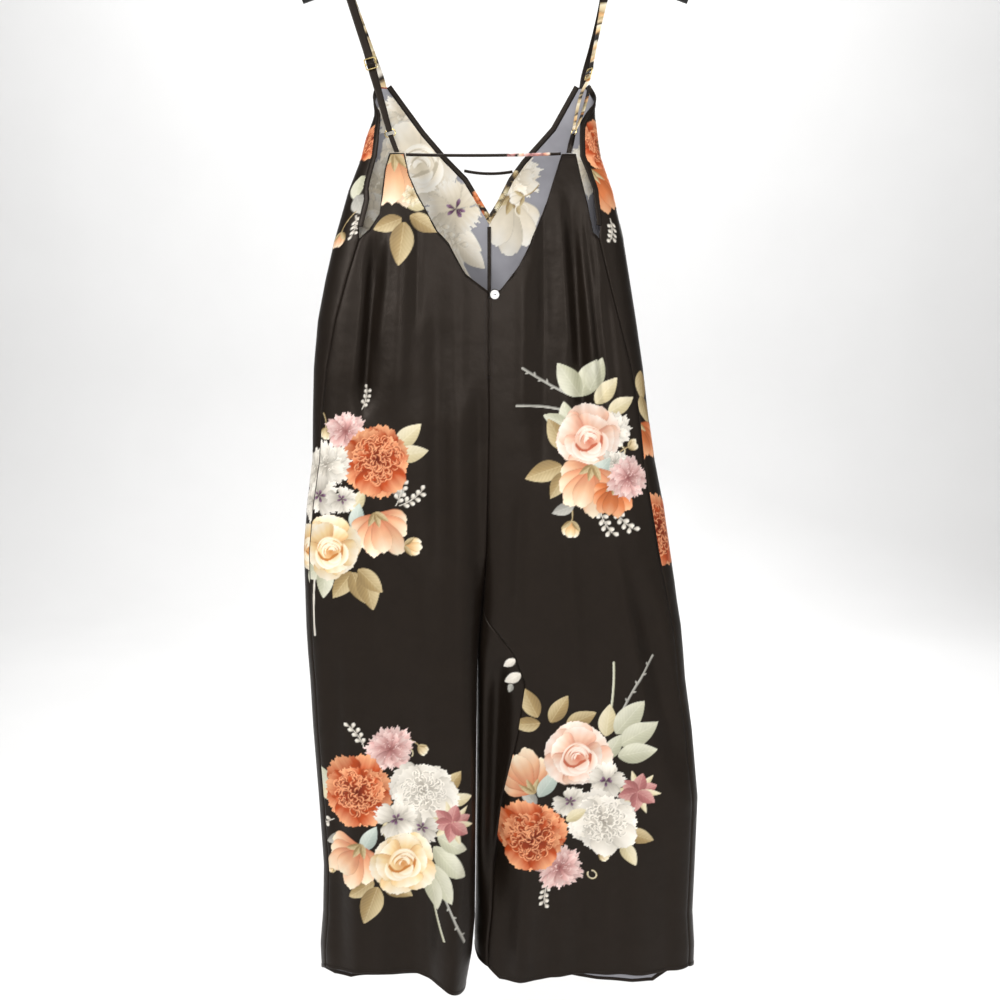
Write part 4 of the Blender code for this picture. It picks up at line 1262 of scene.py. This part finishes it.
def add_stitches(name, line, ups, outs, finish):
    """A row of machine stitches, each a short pointed bar, joined into one piece."""
    line = np.asarray(line, float)
    lengths = np.concatenate([[0.0], np.cumsum(np.linalg.norm(np.diff(line, axis=0), axis=1))])
    places = np.arange(STITCH_PITCH / 2, lengths[-1], STITCH_PITCH)
    centres, up, out, ahead = (
        np.column_stack([np.interp(places + shift, lengths, rows[:, k]) for k in range(3)])
        for rows, shift in ((line, 0.0), (np.asarray(ups), 0.0), (np.asarray(outs), 0.0), (line, 0.5))
    )
    along = ahead - centres
    along /= np.maximum(np.linalg.norm(along, axis=1, keepdims=True), 1e-6)
    half = STITCH_LENGTH / 2
    corners = np.stack(
        [centres + half * along, centres - half * along, centres + STITCH_THICK * up,
         centres - STITCH_THICK * up, centres + STITCH_THICK * out, centres - STITCH_THICK * out],
        axis=1,
    )
    sides = ((0, 2, 4), (0, 4, 3), (0, 3, 5), (0, 5, 2), (1, 4, 2), (1, 3, 4), (1, 5, 3), (1, 2, 5))
    faces = [tuple(6 * k + c for c in side) for k in range(len(places)) for side in sides]
    return keep(mesh_object(name, corners.reshape(-1, 3), faces, (finish,)))


def round_profile(radius, count):
    turns = np.linspace(0, 2 * math.pi, count + 1)[:-1]
    return [(radius * math.cos(turn), radius * math.sin(turn)) for turn in turns]


# Half a binding's and half a hem's section, up out of the cloth and away from its face, then mirrored
BINDING_HALF = [(-1.3, 0.75), (0.1, 1.05), (2.6, 1.15), (4.9, 0.95), (5.5, 0.35)]
HEM_HALF = [(-5.4, 0.5), (-4.8, 0.72), (-2.4, 0.9), (-0.7, 0.85), (0.0, 0.3)]
BINDING_PROFILE = BINDING_HALF + [(up, -out) for up, out in reversed(BINDING_HALF)]
HEM_PROFILE = HEM_HALF + [(up, -out) for up, out in reversed(HEM_HALF)]
ROLL_PROFILE = round_profile(0.95, 8)
NECK_PATCHES = {
    "left": [Patch(0, 34, (CREAM, ORANGE, KHAKI), 3)],
    "right": [Patch(0, 62, (CREAM_LEAF, KHAKI, CREAM), 8)],
}

TIP_PATCHES = {"left": [Patch(0, 12, (RUST, CORAL), 2)], "right": []}

# How far each row of stitches lies in from its edge and out from the cloth's middle
BINDING_ROW = (-0.9, 1.1)
ROLLED_ROW = (2.2, 0.55)
HEM_ROW = (4.6, 0.78)
TIP_ROLL_IN = 0.4
BACK_ROLL_IN = 0.5
BINDING_END = 10.0

# The ripples that a fine rolled edge takes on, and how much longer the sloping edge is than its arc
Ripple = namedtuple("Ripple", "height length start")
RIPPLES = [Ripple(0.55, 4.6, 0.0), Ripple(0.3, 1.9, 1.0)]
SLOPE = 1.4

# How many points lie along each kind of edge
NECK_STEPS = 150
ARMHOLE_STEPS = 110
TIP_STEPS = 24
ROLLED_STEPS = 120
HEM_STEPS = 190


def add_row(name, edge, out, normal, row, finish, face=1):
    """Stitches along an edge, on the cloth's outer face or on its inner one."""
    inward, lift = row
    add_stitches(name, edge - inward * out + face * lift * normal, out, normal, finish)


def add_edges(finishes):
    """Bindings on the front's neck and armholes, fine rolled edges on the back, turned hems, and stitches."""
    satin, thread = finishes["print"], finishes["thread"]
    for side in ("left", "right"):
        panel = PANELS["front_" + side]
        inner, outer = (arc / panel.whole for arc in panel.tip)
        edge, out, normal = edge_line(panel, 0.0, inner, NECK_STEPS, "top")
        out[0] = (0.0, 0.0, 1.0 / out[0][2])
        name = "neck_binding_" + side
        patches = NECK_PATCHES[side]
        sweep(name + "_strip", edge, out, normal, BINDING_PROFILE, satin, name, patches)
        for face in (1, -1):
            add_row(f"{name}_stitches_{face + 1}", edge, out, normal, BINDING_ROW, thread, face)
        edge, out, normal = edge_line(panel, outer, 1.0 - BINDING_END / panel.whole, ARMHOLE_STEPS, "top")
        name = "armhole_binding_" + side
        sweep(name + "_strip", edge, out, normal, BINDING_PROFILE, satin, name)
        add_row(name + "_stitches", edge, out, normal, BINDING_ROW, thread)
        edge, out, normal = edge_line(panel, inner, outer, TIP_STEPS, "top")
        spine = edge - TIP_ROLL_IN * out
        name = f"front_tip_{side}_edge"
        sweep(name, spine, out, normal, ROLL_PROFILE, satin, patches=TIP_PATCHES[side])
        panel = PANELS["back_" + side]
        inner, outer = (arc / panel.whole for arc in panel.tip)
        for place, low, high in (("neck", 0.0, inner), ("tip", inner, outer), ("armhole", outer, 1.0)):
            edge, out, normal = edge_line(panel, low, high, ROLLED_STEPS, "top")
            run = np.linspace(0.0, panel.whole * (high - low) * SLOPE, len(edge))[:, None]
            waves = [w.height * np.sin(run / w.length + w.start) for w in RIPPLES]
            ripple = 0.0 if place == "tip" else sum(waves)
            spine = edge - BACK_ROLL_IN * out + ripple * normal
            name = f"rolled_edge_{side}_{place}"
            sweep(name, spine, out, normal, ROLL_PROFILE, satin)
            if place != "tip":
                add_row(name + "_stitches", edge, out, normal, ROLLED_ROW, thread)
    for panel in PANELS.values():
        edge, out, normal = edge_line(panel, 0.002, 0.998, HEM_STEPS, "hem")
        name = "hem_" + panel.name
        sweep(name, edge, out, normal, HEM_PROFILE, satin)
        for face in (1, -1):
            add_row(f"{name}_stitches_{face + 1}", edge, out, normal, HEM_ROW, thread, face)


# The slit below the button: its top and foot, how far its rolled edges and its hems' stitches lie from it,
# the ripple of the one and the lift of the other, and its bar tack
SLIT_TOP_Z = -473.0
SLIT_FOOT_Z = -569.0
SLIT_STEPS = 90
SLIT_ROLL = 0.9
SLIT_HEM = 4.6
SLIT_RIPPLE = 0.3
SLIT_RIPPLE_LENGTH = 4.1
SLIT_LIFT = 0.5
TACK_WIDTH = 7.0
TACK_LIFT = 0.6
TACK_STEPS = 9
TACK_ROWS = (-570.4, -571.4, -572.4)


def add_slit(finishes):
    """Fine rolled edges and stitches beside the slit, and the bar tack that stops it tearing."""
    heights = np.linspace(SLIT_TOP_Z, SLIT_FOOT_Z, SLIT_STEPS)
    for side in (-1, 1):
        panel = PANELS["back_" + side_name(side)]
        surface = MAPS[panel.name]
        level = heights[0]
        width = look_up(surface.widths[:, None] * np.ones(MAP_COLUMNS), np.zeros(1), np.array([level]))[0]
        for place, inward in (("edge", SLIT_ROLL), ("stitches", SLIT_HEM)):
            shares = np.full_like(heights, inward / width)
            line = look_up(surface.points, shares, heights)
            normal = look_up(surface.normals, shares, heights)
            across = np.tile((float(side), 0.0, 0.0), (len(heights), 1))
            name = f"slit_{place}_{side_name(side)}"
            if place == "edge":
                line = line + SLIT_RIPPLE * np.sin(heights / SLIT_RIPPLE_LENGTH + side)[:, None] * normal
                sweep(name, line, across, normal, ROLL_PROFILE, finishes["print"])
            else:
                add_stitches(name, line + SLIT_LIFT * normal, across, normal, finishes["thread"])
    middle = at_height("middle", TACK_ROWS[0])
    face = -at_height("right_depth", TACK_ROWS[0]) - TACK_LIFT
    for index, z in enumerate(TACK_ROWS):
        shifts = np.linspace(-TACK_WIDTH / 2, TACK_WIDTH / 2, TACK_STEPS)
        line = np.array([(middle + shift, face, z) for shift in shifts])
        ups = np.tile((0.0, 0.0, 1.0), (len(line), 1))
        outs = np.tile((0.0, -1.0, 0.0), (len(line), 1))
        add_stitches(f"bar_tack_{index + 1}", line, ups, outs, finishes["thread"])


# The button's place and the thread between its two holes
BUTTON_AT = (-0.5, -468.5)
BUTTON_CLEAR = 1.6
BUTTON_DISH = 0.66
HOLE_SHIFT = 1.1
THREAD_RADIUS = 0.34
THREAD_SUNK = 0.5
THREAD_RISE = 0.95
THREAD_STEPS = 9


def add_button_thread(finishes):
    x, z = BUTTON_AT
    dish = -at_height("right_depth", z) - BUTTON_CLEAR - BUTTON_DISH * BUTTON_THICK
    points = []
    for turn in np.linspace(0.0, math.pi, THREAD_STEPS):
        y = dish + THREAD_SUNK - THREAD_RISE * math.sin(turn)
        points.append((x + HOLE_SHIFT * math.cos(turn), y, z))
    add_tube("button_thread", points, THREAD_RADIUS, finishes["thread"])


# The cord between the back's strap tips, as in the part: its two ends, its sag, and where print crosses it
CORD_LEFT = (-110.0, -298.5)
CORD_RIGHT = (81.0, -297.5)
CORD_SAG = 1.5
CORD_PATCHES = [Patch(126, 174, (PINK, ROSE, PINK), 5)]
CORD_PROFILE = round_profile(ROULEAU_RADIUS, 12)
CORD_STEPS = 121


def add_back_cord(finishes):
    """The turned tube of cloth that holds the back's two sides together."""
    ends = []
    for side, (x, z) in ((-1, CORD_LEFT), (1, CORD_RIGHT)):
        near = section_loop(side, z)[0][:LOOP_SAMPLES]
        y = np.interp(abs(x - near[0, 0]), abs(near[:, 0] - near[0, 0]), near[:, 1])
        ends.append(np.array((x, y, z)))
    shares = np.linspace(0.0, 1.0, CORD_STEPS)[:, None]
    spine = ends[0] + shares * (ends[1] - ends[0])
    spine[:, 2] -= (4 * CORD_SAG * shares * (1 - shares))[:, 0]
    ups = np.tile((0.0, 0.0, 1.0), (len(spine), 1))
    outs = np.tile((0.0, -1.0, 0.0), (len(spine), 1))
    sweep(
        "back_cord_tube", spine, ups, outs, CORD_PROFILE, finishes["print"],
        "back_cross_strap", CORD_PATCHES,
    )


# Straps, as in the part: where each crosses the arm, the middle of its slider and ring, how far each stretch
# is twisted and how far its doubled layers bow apart
StrapRoute = namedtuple("StrapRoute", "side arm_x slider ring near_twist far_twist spread")
STRAP_ROUTES = [
    StrapRoute(-1, -182.0, (-152.0, -13.0, -191.0), (-129.0, -21.5, -273.5), 0.0, 0.0, 0.6),
    StrapRoute(1, 139.0, (116.0, -12.0, -203.0), (97.0, -19.0, -271.5), 68.0, 50.0, 2.6),
]
# Shares of the way from the front's tip up to the arm, and from the arm down to the slider, with the share of
# the stretch's twist that is reached there
FAR_TURNS = [(0.12, 0.3), (0.35, 0.9), (0.6, 1.0), (0.85, 0.5)]
NEAR_TURNS = [(0.25, 0.4), (0.5, 0.8), (0.75, 1.0)]
# The way through the slider in halves of its height, and the side of its bars, from where the strap comes in
SLIDER_ENTRY = 2.2
WEAVE = [(-1.05, -1), (-0.74, -1), (-0.22, 1), (0.22, 1), (0.74, -1), (1.05, -1), (1.6, -0.3)]
# Shares of the way from the slider to the ring: the layer that goes down, and the one that comes back up
DOWN_SHARES = [0.35, 0.6, 0.85]
BACK_SHARES = [0.85, 0.6, 0.35, 0.2]
STRAP_PATCHES = {
    "left": [Patch(0, 156, (CREAM, CREAM_LEAF, WHITE, CREAM), 4), Patch(0, 30, (CREAM, WHITE), 9)],
    "right": [Patch(150, 420, (CREAM, YELLOW, CREAM_LEAF, CREAM), 6)],
}


def arm_height(x):
    return ARM_APEX_Z - ARM_DROP * (abs(x) / ARM_REACH) ** ARM_POWER


def arm_direction(x):
    """Unit vector along the hanger's arm at x, towards +X."""
    return Vector((2.0, 0.0, arm_height(x + 1.0) - arm_height(x - 1.0))).normalized()


def turned_width(reference, run, degrees):
    """The direction across a run that lies nearest to the reference, turned about the run."""
    run = run.normalized()
    flat = (reference - reference.dot(run) * run).normalized()
    turn = math.radians(degrees)
    return math.cos(turn) * flat + math.sin(turn) * run.cross(flat)


# How far each strap runs down behind the edge of the front's tip, where it is sewn
STRAP_SEWN = 0.6
# Its width there, how much it narrows towards the ring, how much wider than the tab it is round the ring's
# bar, and how far its two layers lie apart
SEWN_WIDTH = 7.5
STRAP_NARROWS = 3.0
FOLD_WIDER = 1.0
LAYER_GAP = 0.7


def strap_rows(route):
    """A strap from the front's tip over the arm, through the slider, round the ring and back up."""
    down = (Vector(route.ring) - Vector(route.slider)).normalized()
    arm = arm_direction(route.arm_x)
    bars = turned_width(arm, down, route.near_twist)
    front = down.cross(bars)
    panel = PANELS["front_" + side_name(route.side)]
    share = sum(panel.tip) / 2 / panel.whole
    top = table_height(panel.top, share * panel.whole)
    place = np.array([share]), np.array([top])
    start = Vector(look_up(MAPS[panel.name].points, *place)[0]) + Vector((0.0, 0.0, -STRAP_SEWN))
    lift = Vector((-arm.z, 0.0, arm.x))
    over = []
    for angle in np.linspace(-10.0, 190.0, 11):
        turn = math.radians(float(angle))
        seat = (ARM_RADIUS + SEAT) * (math.sin(turn) * lift + math.cos(turn) * Vector((0.0, 1.0, 0.0)))
        over.append((Vector((route.arm_x, 0.0, arm_height(route.arm_x))) + seat, arm, STRAP_WIDTH))
    rise = over[0][0] - start
    rows = [(start, arm, SEWN_WIDTH)]
    for share, turn in FAR_TURNS:
        rows.append((start + rise * share, turned_width(arm, rise, route.far_twist * turn), STRAP_WIDTH))
    rows += over
    weave = SLIDER_BAR / 2 + SEAT
    bar_round = RING_WIRE + SEAT
    gate = Vector(route.slider) + bar_round * front
    entry = gate - SLIDER_ENTRY * SLIDER_HEIGHT / 2 * down
    drop = entry - over[-1][0]
    for share, turn in NEAR_TURNS:
        across = turned_width(arm, drop, route.near_twist * turn)
        rows.append((over[-1][0] + drop * share, across, STRAP_WIDTH))
    rows.append((entry, bars, STRAP_WIDTH))
    for along, face in WEAVE:
        rows.append((gate + along * SLIDER_HEIGHT / 2 * down + face * weave * front, bars, STRAP_WIDTH))
    bar = Vector(route.ring) - RING_HEIGHT / 2 * down
    span = bar - Vector(route.slider)
    for share in DOWN_SHARES:
        bow = bar_round + route.spread * math.sin(math.pi * share)
        width = STRAP_WIDTH - STRAP_NARROWS * share
        rows.append((Vector(route.slider) + span * share + bow * front, bars, width))
    for angle in np.linspace(0.0, 180.0, 7):
        turn = math.radians(float(angle))
        lift = bar_round * (math.cos(turn) * front + math.sin(turn) * down)
        rows.append((bar + lift, bars, TAB_WIDTH + FOLD_WIDER))
    for share in BACK_SHARES:
        bow = bar_round + LAYER_GAP + route.spread * math.sin(math.pi * share)
        width = STRAP_WIDTH - STRAP_NARROWS * share
        rows.append((Vector(route.slider) + span * share - bow * front, bars, width))
    return rows


def smooth_path(knots, per_span):
    """A Catmull-Rom curve through rows of numbers."""
    knots = np.array(knots, float)
    padded = np.vstack([2 * knots[0] - knots[1], knots, 2 * knots[-1] - knots[-2]])
    path = []
    for a, b, c, d in zip(padded[:-3], padded[1:-2], padded[2:-1], padded[3:]):
        for t in np.arange(per_span) / per_span:
            bend = (2 * a - 5 * b + 4 * c - d) * t**2 + (3 * b - a - 3 * c + d) * t**3
            path.append(0.5 * (2 * b + (c - a) * t + bend))
    path.append(knots[-1])
    return np.array(path)


# Across the strap as a share of its width there, and out from its face in millimetres
STRAP_PROFILE = [(-0.5, 0), (-0.46, 0.42), (-0.3, 0.5), (0, 0.44), (0.3, 0.5), (0.46, 0.42), (0.5, 0),
                 (0.46, -0.42), (0.3, -0.5), (0, -0.44), (-0.3, -0.5), (-0.46, -0.42)]
STRAP_STEPS = 14


def add_straps(finishes):
    for route in STRAP_ROUTES:
        rows = strap_rows(route)
        knots = [(*point, *(across.normalized() * width)) for point, across, width in rows]
        path = smooth_path(knots, STRAP_STEPS)
        spine, ups = path[:, :3], path[:, 3:]
        along = np.gradient(spine, axis=0)
        outs = np.cross(ups, along)
        outs /= np.linalg.norm(outs, axis=1, keepdims=True)
        side = side_name(route.side)
        name = "strap_" + side
        sweep(
            name + "_tube", spine, ups, outs, STRAP_PROFILE, finishes["print"], name,
            STRAP_PATCHES[side],
        )


def add_print(name, panel, motifs, finish, inside=False):
    """A bouquet as a fine sheet just over a panel's face, cut to where it has colour."""
    surface = MAPS[panel.name]
    xs = np.array([motif.x for motif in motifs])
    zs = np.array([motif.z for motif in motifs])
    reach = np.array([motif.size for motif in motifs]) * PRINT_REACH
    heights = np.arange(min((zs + reach).max(), MAP_TOP_Z), (zs - reach).min(), -PRINT_STEP)
    levels = np.clip(((MAP_TOP_Z - heights[[0, -1]]) / MAP_STEP).astype(int), 0, MAP_LEVELS - 1)
    cloth = surface.cloth_x[levels[0] : levels[1] + 1]
    used = ((cloth > (xs - reach).min()) & (cloth < (xs + reach).max())).any(axis=0)
    columns = np.nonzero(used)[0] / (MAP_COLUMNS - 1)
    width = surface.widths[levels].max()
    shares = np.arange(max(columns[0], 0.001), min(columns[-1], 0.999), PRINT_STEP / width)
    share_grid, height_grid = np.meshgrid(shares, heights)
    inside_panel = (height_grid < table_height(panel.top, share_grid * panel.whole) - PRINT_MARGIN) & (
        height_grid > table_height(panel.hem, share_grid) + PRINT_MARGIN
    )
    own_x = look_up(surface.cloth_x, share_grid, height_grid)
    paint = Paint(own_x.ravel(), height_grid.ravel(), WRONG_GREY_AND_PAINTED_LIGHT if inside else CLOTH_BLACK)
    paint_motifs(paint, motifs, wash=inside)
    lift = (WALL / 2 + PRINT_LIFT) * (-1.0 if inside else 1.0)
    points = look_up(surface.points, share_grid, height_grid) + lift * look_up(
        surface.normals, share_grid, height_grid
    )
    shown = (paint.cover > LEAST_COVER).reshape(share_grid.shape)
    cell = inside_panel[:-1, :-1] & inside_panel[1:, :-1] & inside_panel[:-1, 1:] & inside_panel[1:, 1:]
    cell &= shown[:-1, :-1] | shown[1:, :-1] | shown[:-1, 1:] | shown[1:, 1:]
    rows, columns = np.nonzero(cell)
    count = share_grid.shape[1]
    first = rows * count + columns
    quads = np.column_stack([first, first + 1, first + count + 1, first + count])
    if ((panel.sheet == "near") == (panel.side > 0)) != inside:
        quads = quads[:, ::-1]
    used, compact = np.unique(quads, return_inverse=True)
    quads = compact.reshape(quads.shape)
    made = mesh_object(name, points.reshape(-1, 3)[used], quads.tolist(), (finish,))
    layer = made.data.color_attributes.new("print", "FLOAT_COLOR", "POINT")
    colours = np.column_stack([paint.colour[used], np.ones(len(used))])
    layer.data.foreach_set("color", colours.astype(np.float32).ravel())
    return keep(made)


def add_prints(finishes):
    """Every bouquet: those that the photograph shows, and others of the same kind on the unseen front."""
    pieces = {name: [] for name in PANELS}
    left, right = PANELS["back_left"], PANELS["back_right"]
    far_left, far_right = PANELS["front_left"], PANELS["front_right"]
    left_hip = placed(LEFT_HIP, left)
    right_hip = placed(RIGHT_HIP, right)
    left_leg = placed(LEFT_LEG, left)
    right_leg = placed(RIGHT_LEG, right)
    rows = [
        (left, "left_hip", left_hip, False),
        (left, "left_leg", left_leg, False),
        (left, "left_tip", placed(LEFT_TIP, left), False),
        (right, "right_hip", right_hip, False),
        (right, "right_leg", right_leg, False),
        (far_left, "left_side", placed(LEFT_SIDE, far_left), False),
        (far_left, "left_hip_side", placed(LEFT_HIP_SIDE, far_left), False),
        (far_right, "right_side", placed(RIGHT_SIDE, far_right), False),
        (far_right, "right_hip_side", placed(RIGHT_HIP_SIDE, far_right), False),
        (far_right, "right_inner", placed(RIGHT_INNER, far_right), False),
        (far_left, "left_inside", placed(LEFT_INSIDE, far_left, True), True),
        (far_right, "right_inside", placed(RIGHT_INSIDE, far_right, True), True),
        (far_left, "front_chest_left", carried(left_hip, (-82, -370)), False),
        (far_right, "front_chest_right", carried(right_leg, (62, -420), flip=True), False),
        (far_left, "front_hip_left", carried(right_hip, (-120, -780)), False),
        (far_right, "front_hip_right", carried(left_hip, (90, -800), over=True), False),
        (far_left, "front_leg_left", carried(left_leg, (-130, -1210), flip=True), False),
        (far_right, "front_leg_right", carried(right_leg, (130, -1180), over=True), False),
    ]
    for panel, name, motifs, inside in rows:
        finish = finishes["wash" if inside else "print"]
        pieces[panel.name].append(add_print("print_" + name, panel, motifs, finish, inside))
    return pieces


def set_camera():
    data = bpy.data.cameras.new("camera")
    data.sensor_width = SENSOR_MM
    data.lens = SENSOR_MM * FOCUS_PIXELS / PICTURE_SIDE
    data.clip_start = 0.05
    data.clip_end = 30.0
    camera = bpy.data.objects.new("camera", data)
    camera.location = CAMERA_AT
    camera.rotation_euler = (math.radians(90.0) - LOOK_DOWN, 0.0, 0.0)
    bpy.context.scene.collection.objects.link(camera)
    bpy.context.scene.camera = camera


# The backdrop in metres, and its paint from its darkest tone to its lightest
FLOOR_Z = -1.66
WALL_Y = 3.4
BEND = 0.9
WALL_TOP = 3.5
FLOOR_FRONT = -4.0
HALF_STAGE = 5.0
BEND_STEPS = 12
PAINT_LOW = 0.78
PAINT_HIGH = 0.82


def set_stage():
    """A pale floor that curves up into a pale wall, in rolled matt paint: even, with no highlight."""
    profile = [(FLOOR_FRONT, FLOOR_Z)]
    for step in range(BEND_STEPS + 1):
        turn = math.pi / 2 * step / BEND_STEPS
        profile.append((WALL_Y - BEND + BEND * math.sin(turn), FLOOR_Z + BEND - BEND * math.cos(turn)))
    profile.append((WALL_Y, WALL_TOP))
    points = [(x, y, z) for y, z in profile for x in (-HALF_STAGE, HALF_STAGE)]
    made, tree, shader = new_finish("matt_pale_paint")
    place = add_node(tree, "ShaderNodeTexCoord")
    cloud = add_node(tree, "ShaderNodeTexNoise", {"Vector": (place, "Object"), "Scale": 3.0})
    tone = add_node(
        tree, "ShaderNodeMapRange", {"Value": (cloud, "Fac"), "To Min": PAINT_LOW, "To Max": PAINT_HIGH}
    )
    tree.links.new(tone.outputs["Result"], shader.inputs["Base Color"])
    shader.inputs["Roughness"].default_value = 0.9
    backdrop = mesh_object("backdrop", np.array(points) / MM, grid_faces(len(profile), 2), (made,))
    bpy.context.scene.collection.objects.link(backdrop)


# Places, aims and sizes in metres, power in watts
Lamp = namedtuple("Lamp", "name place aim size power")
LAMPS = [
    Lamp("key", (-1.7, -2.2, 0.5), (0.0, 0.0, -0.7), 1.0, 48.0),
    Lamp("fill", (2.0, -1.8, -0.1), (0.0, 0.0, -0.7), 1.6, 11.0),
    Lamp("front", (0.05, -2.3, -0.2), (0.0, 0.0, -0.3), 0.5, 13.0),
    Lamp("top", (0.2, -0.4, 1.4), (0.0, 0.0, -0.6), 1.2, 14.0),
    Lamp("low", (0.4, -2.2, -1.2), (0.0, 0.0, -1.0), 1.2, 1.5),
    Lamp("behind", (0.9, 2.3, 0.5), (0.0, 0.0, -0.8), 1.4, 30.0),
    Lamp("wall", (0.0, 0.9, 2.4), (0.0, 3.4, -0.2), 1.8, 115.0),
]
# The even light from all round
ROOM_COLOUR = (1.0, 0.985, 0.96, 1.0)
ROOM_STRENGTH = 0.27


def set_lamps():
    for lamp in LAMPS:
        data = bpy.data.lights.new(lamp.name, "AREA")
        data.size = lamp.size
        data.energy = lamp.power
        made = bpy.data.objects.new(lamp.name, data)
        made.location = lamp.place
        aim = Vector(lamp.aim) - Vector(lamp.place)
        made.rotation_euler = aim.to_track_quat("-Z", "Y").to_euler()
        bpy.context.scene.collection.objects.link(made)
    world = bpy.data.worlds.new("studio")
    world.use_nodes = True
    world.node_tree.nodes["Background"].inputs["Color"].default_value = ROOM_COLOUR
    world.node_tree.nodes["Background"].inputs["Strength"].default_value = ROOM_STRENGTH
    bpy.context.scene.world = world
    bpy.context.scene.view_settings.view_transform = "Standard"


# The CAD pieces that stay as they are, each with its finish
KEPT = {
    "ring_left": "gold", "ring_right": "gold", "slider_left": "gold", "slider_right": "gold",
    "tab_left": "satin", "tab_right": "satin", "button": "shell", "button_loop": "strip",
    "front_seam_allowance": "satin", "hanger_collar": "plastic", "front_cross_strap": "satin",
}


def finish_kept(finishes):
    for node, finish in KEPT.items():
        kept = bpy.data.objects[node]
        kept.data.materials.clear()
        kept.data.materials.append(finishes[finish])


def add_tube(name, points, radius, finish, node=None):
    curve = bpy.data.curves.new(name, "CURVE")
    curve.dimensions = "3D"
    curve.bevel_depth = radius * MM
    curve.bevel_resolution = 6
    curve.use_fill_caps = True
    spline = curve.splines.new("POLY")
    spline.points.add(len(points) - 1)
    for target, point in zip(spline.points, points):
        target.co = (*(Vector(point) * MM), 1.0)
    curve.materials.append(finish)
    return keep(bpy.data.objects.new(name, curve), node)


# Points along the arms, then the hook: the angles its round runs between, and the neck that leads to it
ARM_STEPS = 121
HOOK_TURN = (-60.0, 215.0)
HOOK_KNOTS = 14
HOOK_STEPS = 8
HOOK_NECK = [(0.0, -47.4), (0.0, -44.4), (2.1, -36.5)]


def add_hanger(finishes):
    xs = np.linspace(-ARM_REACH, ARM_REACH, ARM_STEPS)
    arms = [(x, 0.0, arm_height(x)) for x in xs]
    add_tube("hanger_arms_bar", arms, ARM_RADIUS, finishes["plastic"], "hanger_arms")
    knots = [(x, 0.0, z) for x, z in HOOK_NECK]
    for angle in np.linspace(*HOOK_TURN, HOOK_KNOTS):
        turn = math.radians(float(angle))
        rise = HOOK_WIRE - HOOK_ROUND + HOOK_ROUND * math.sin(turn)
        knots.append((HOOK_ROUND * math.cos(turn), 0.0, rise))
    wire = smooth_path(knots, HOOK_STEPS)
    add_tube("hanger_hook_wire", wire, HOOK_WIRE, finishes["steel"], "hanger_hook")


def main():
    set_camera()
    set_stage()
    set_lamps()
    finishes = make_finishes()
    prints = add_prints(finishes)
    for panel in PANELS.values():
        cloth = add_panel(panel, finishes)
    add_edges(finishes)
    add_slit(finishes)
    add_button_thread(finishes)
    add_straps(finishes)
    add_back_cord(finishes)
    add_hanger(finishes)
    finish_kept(finishes)


main()
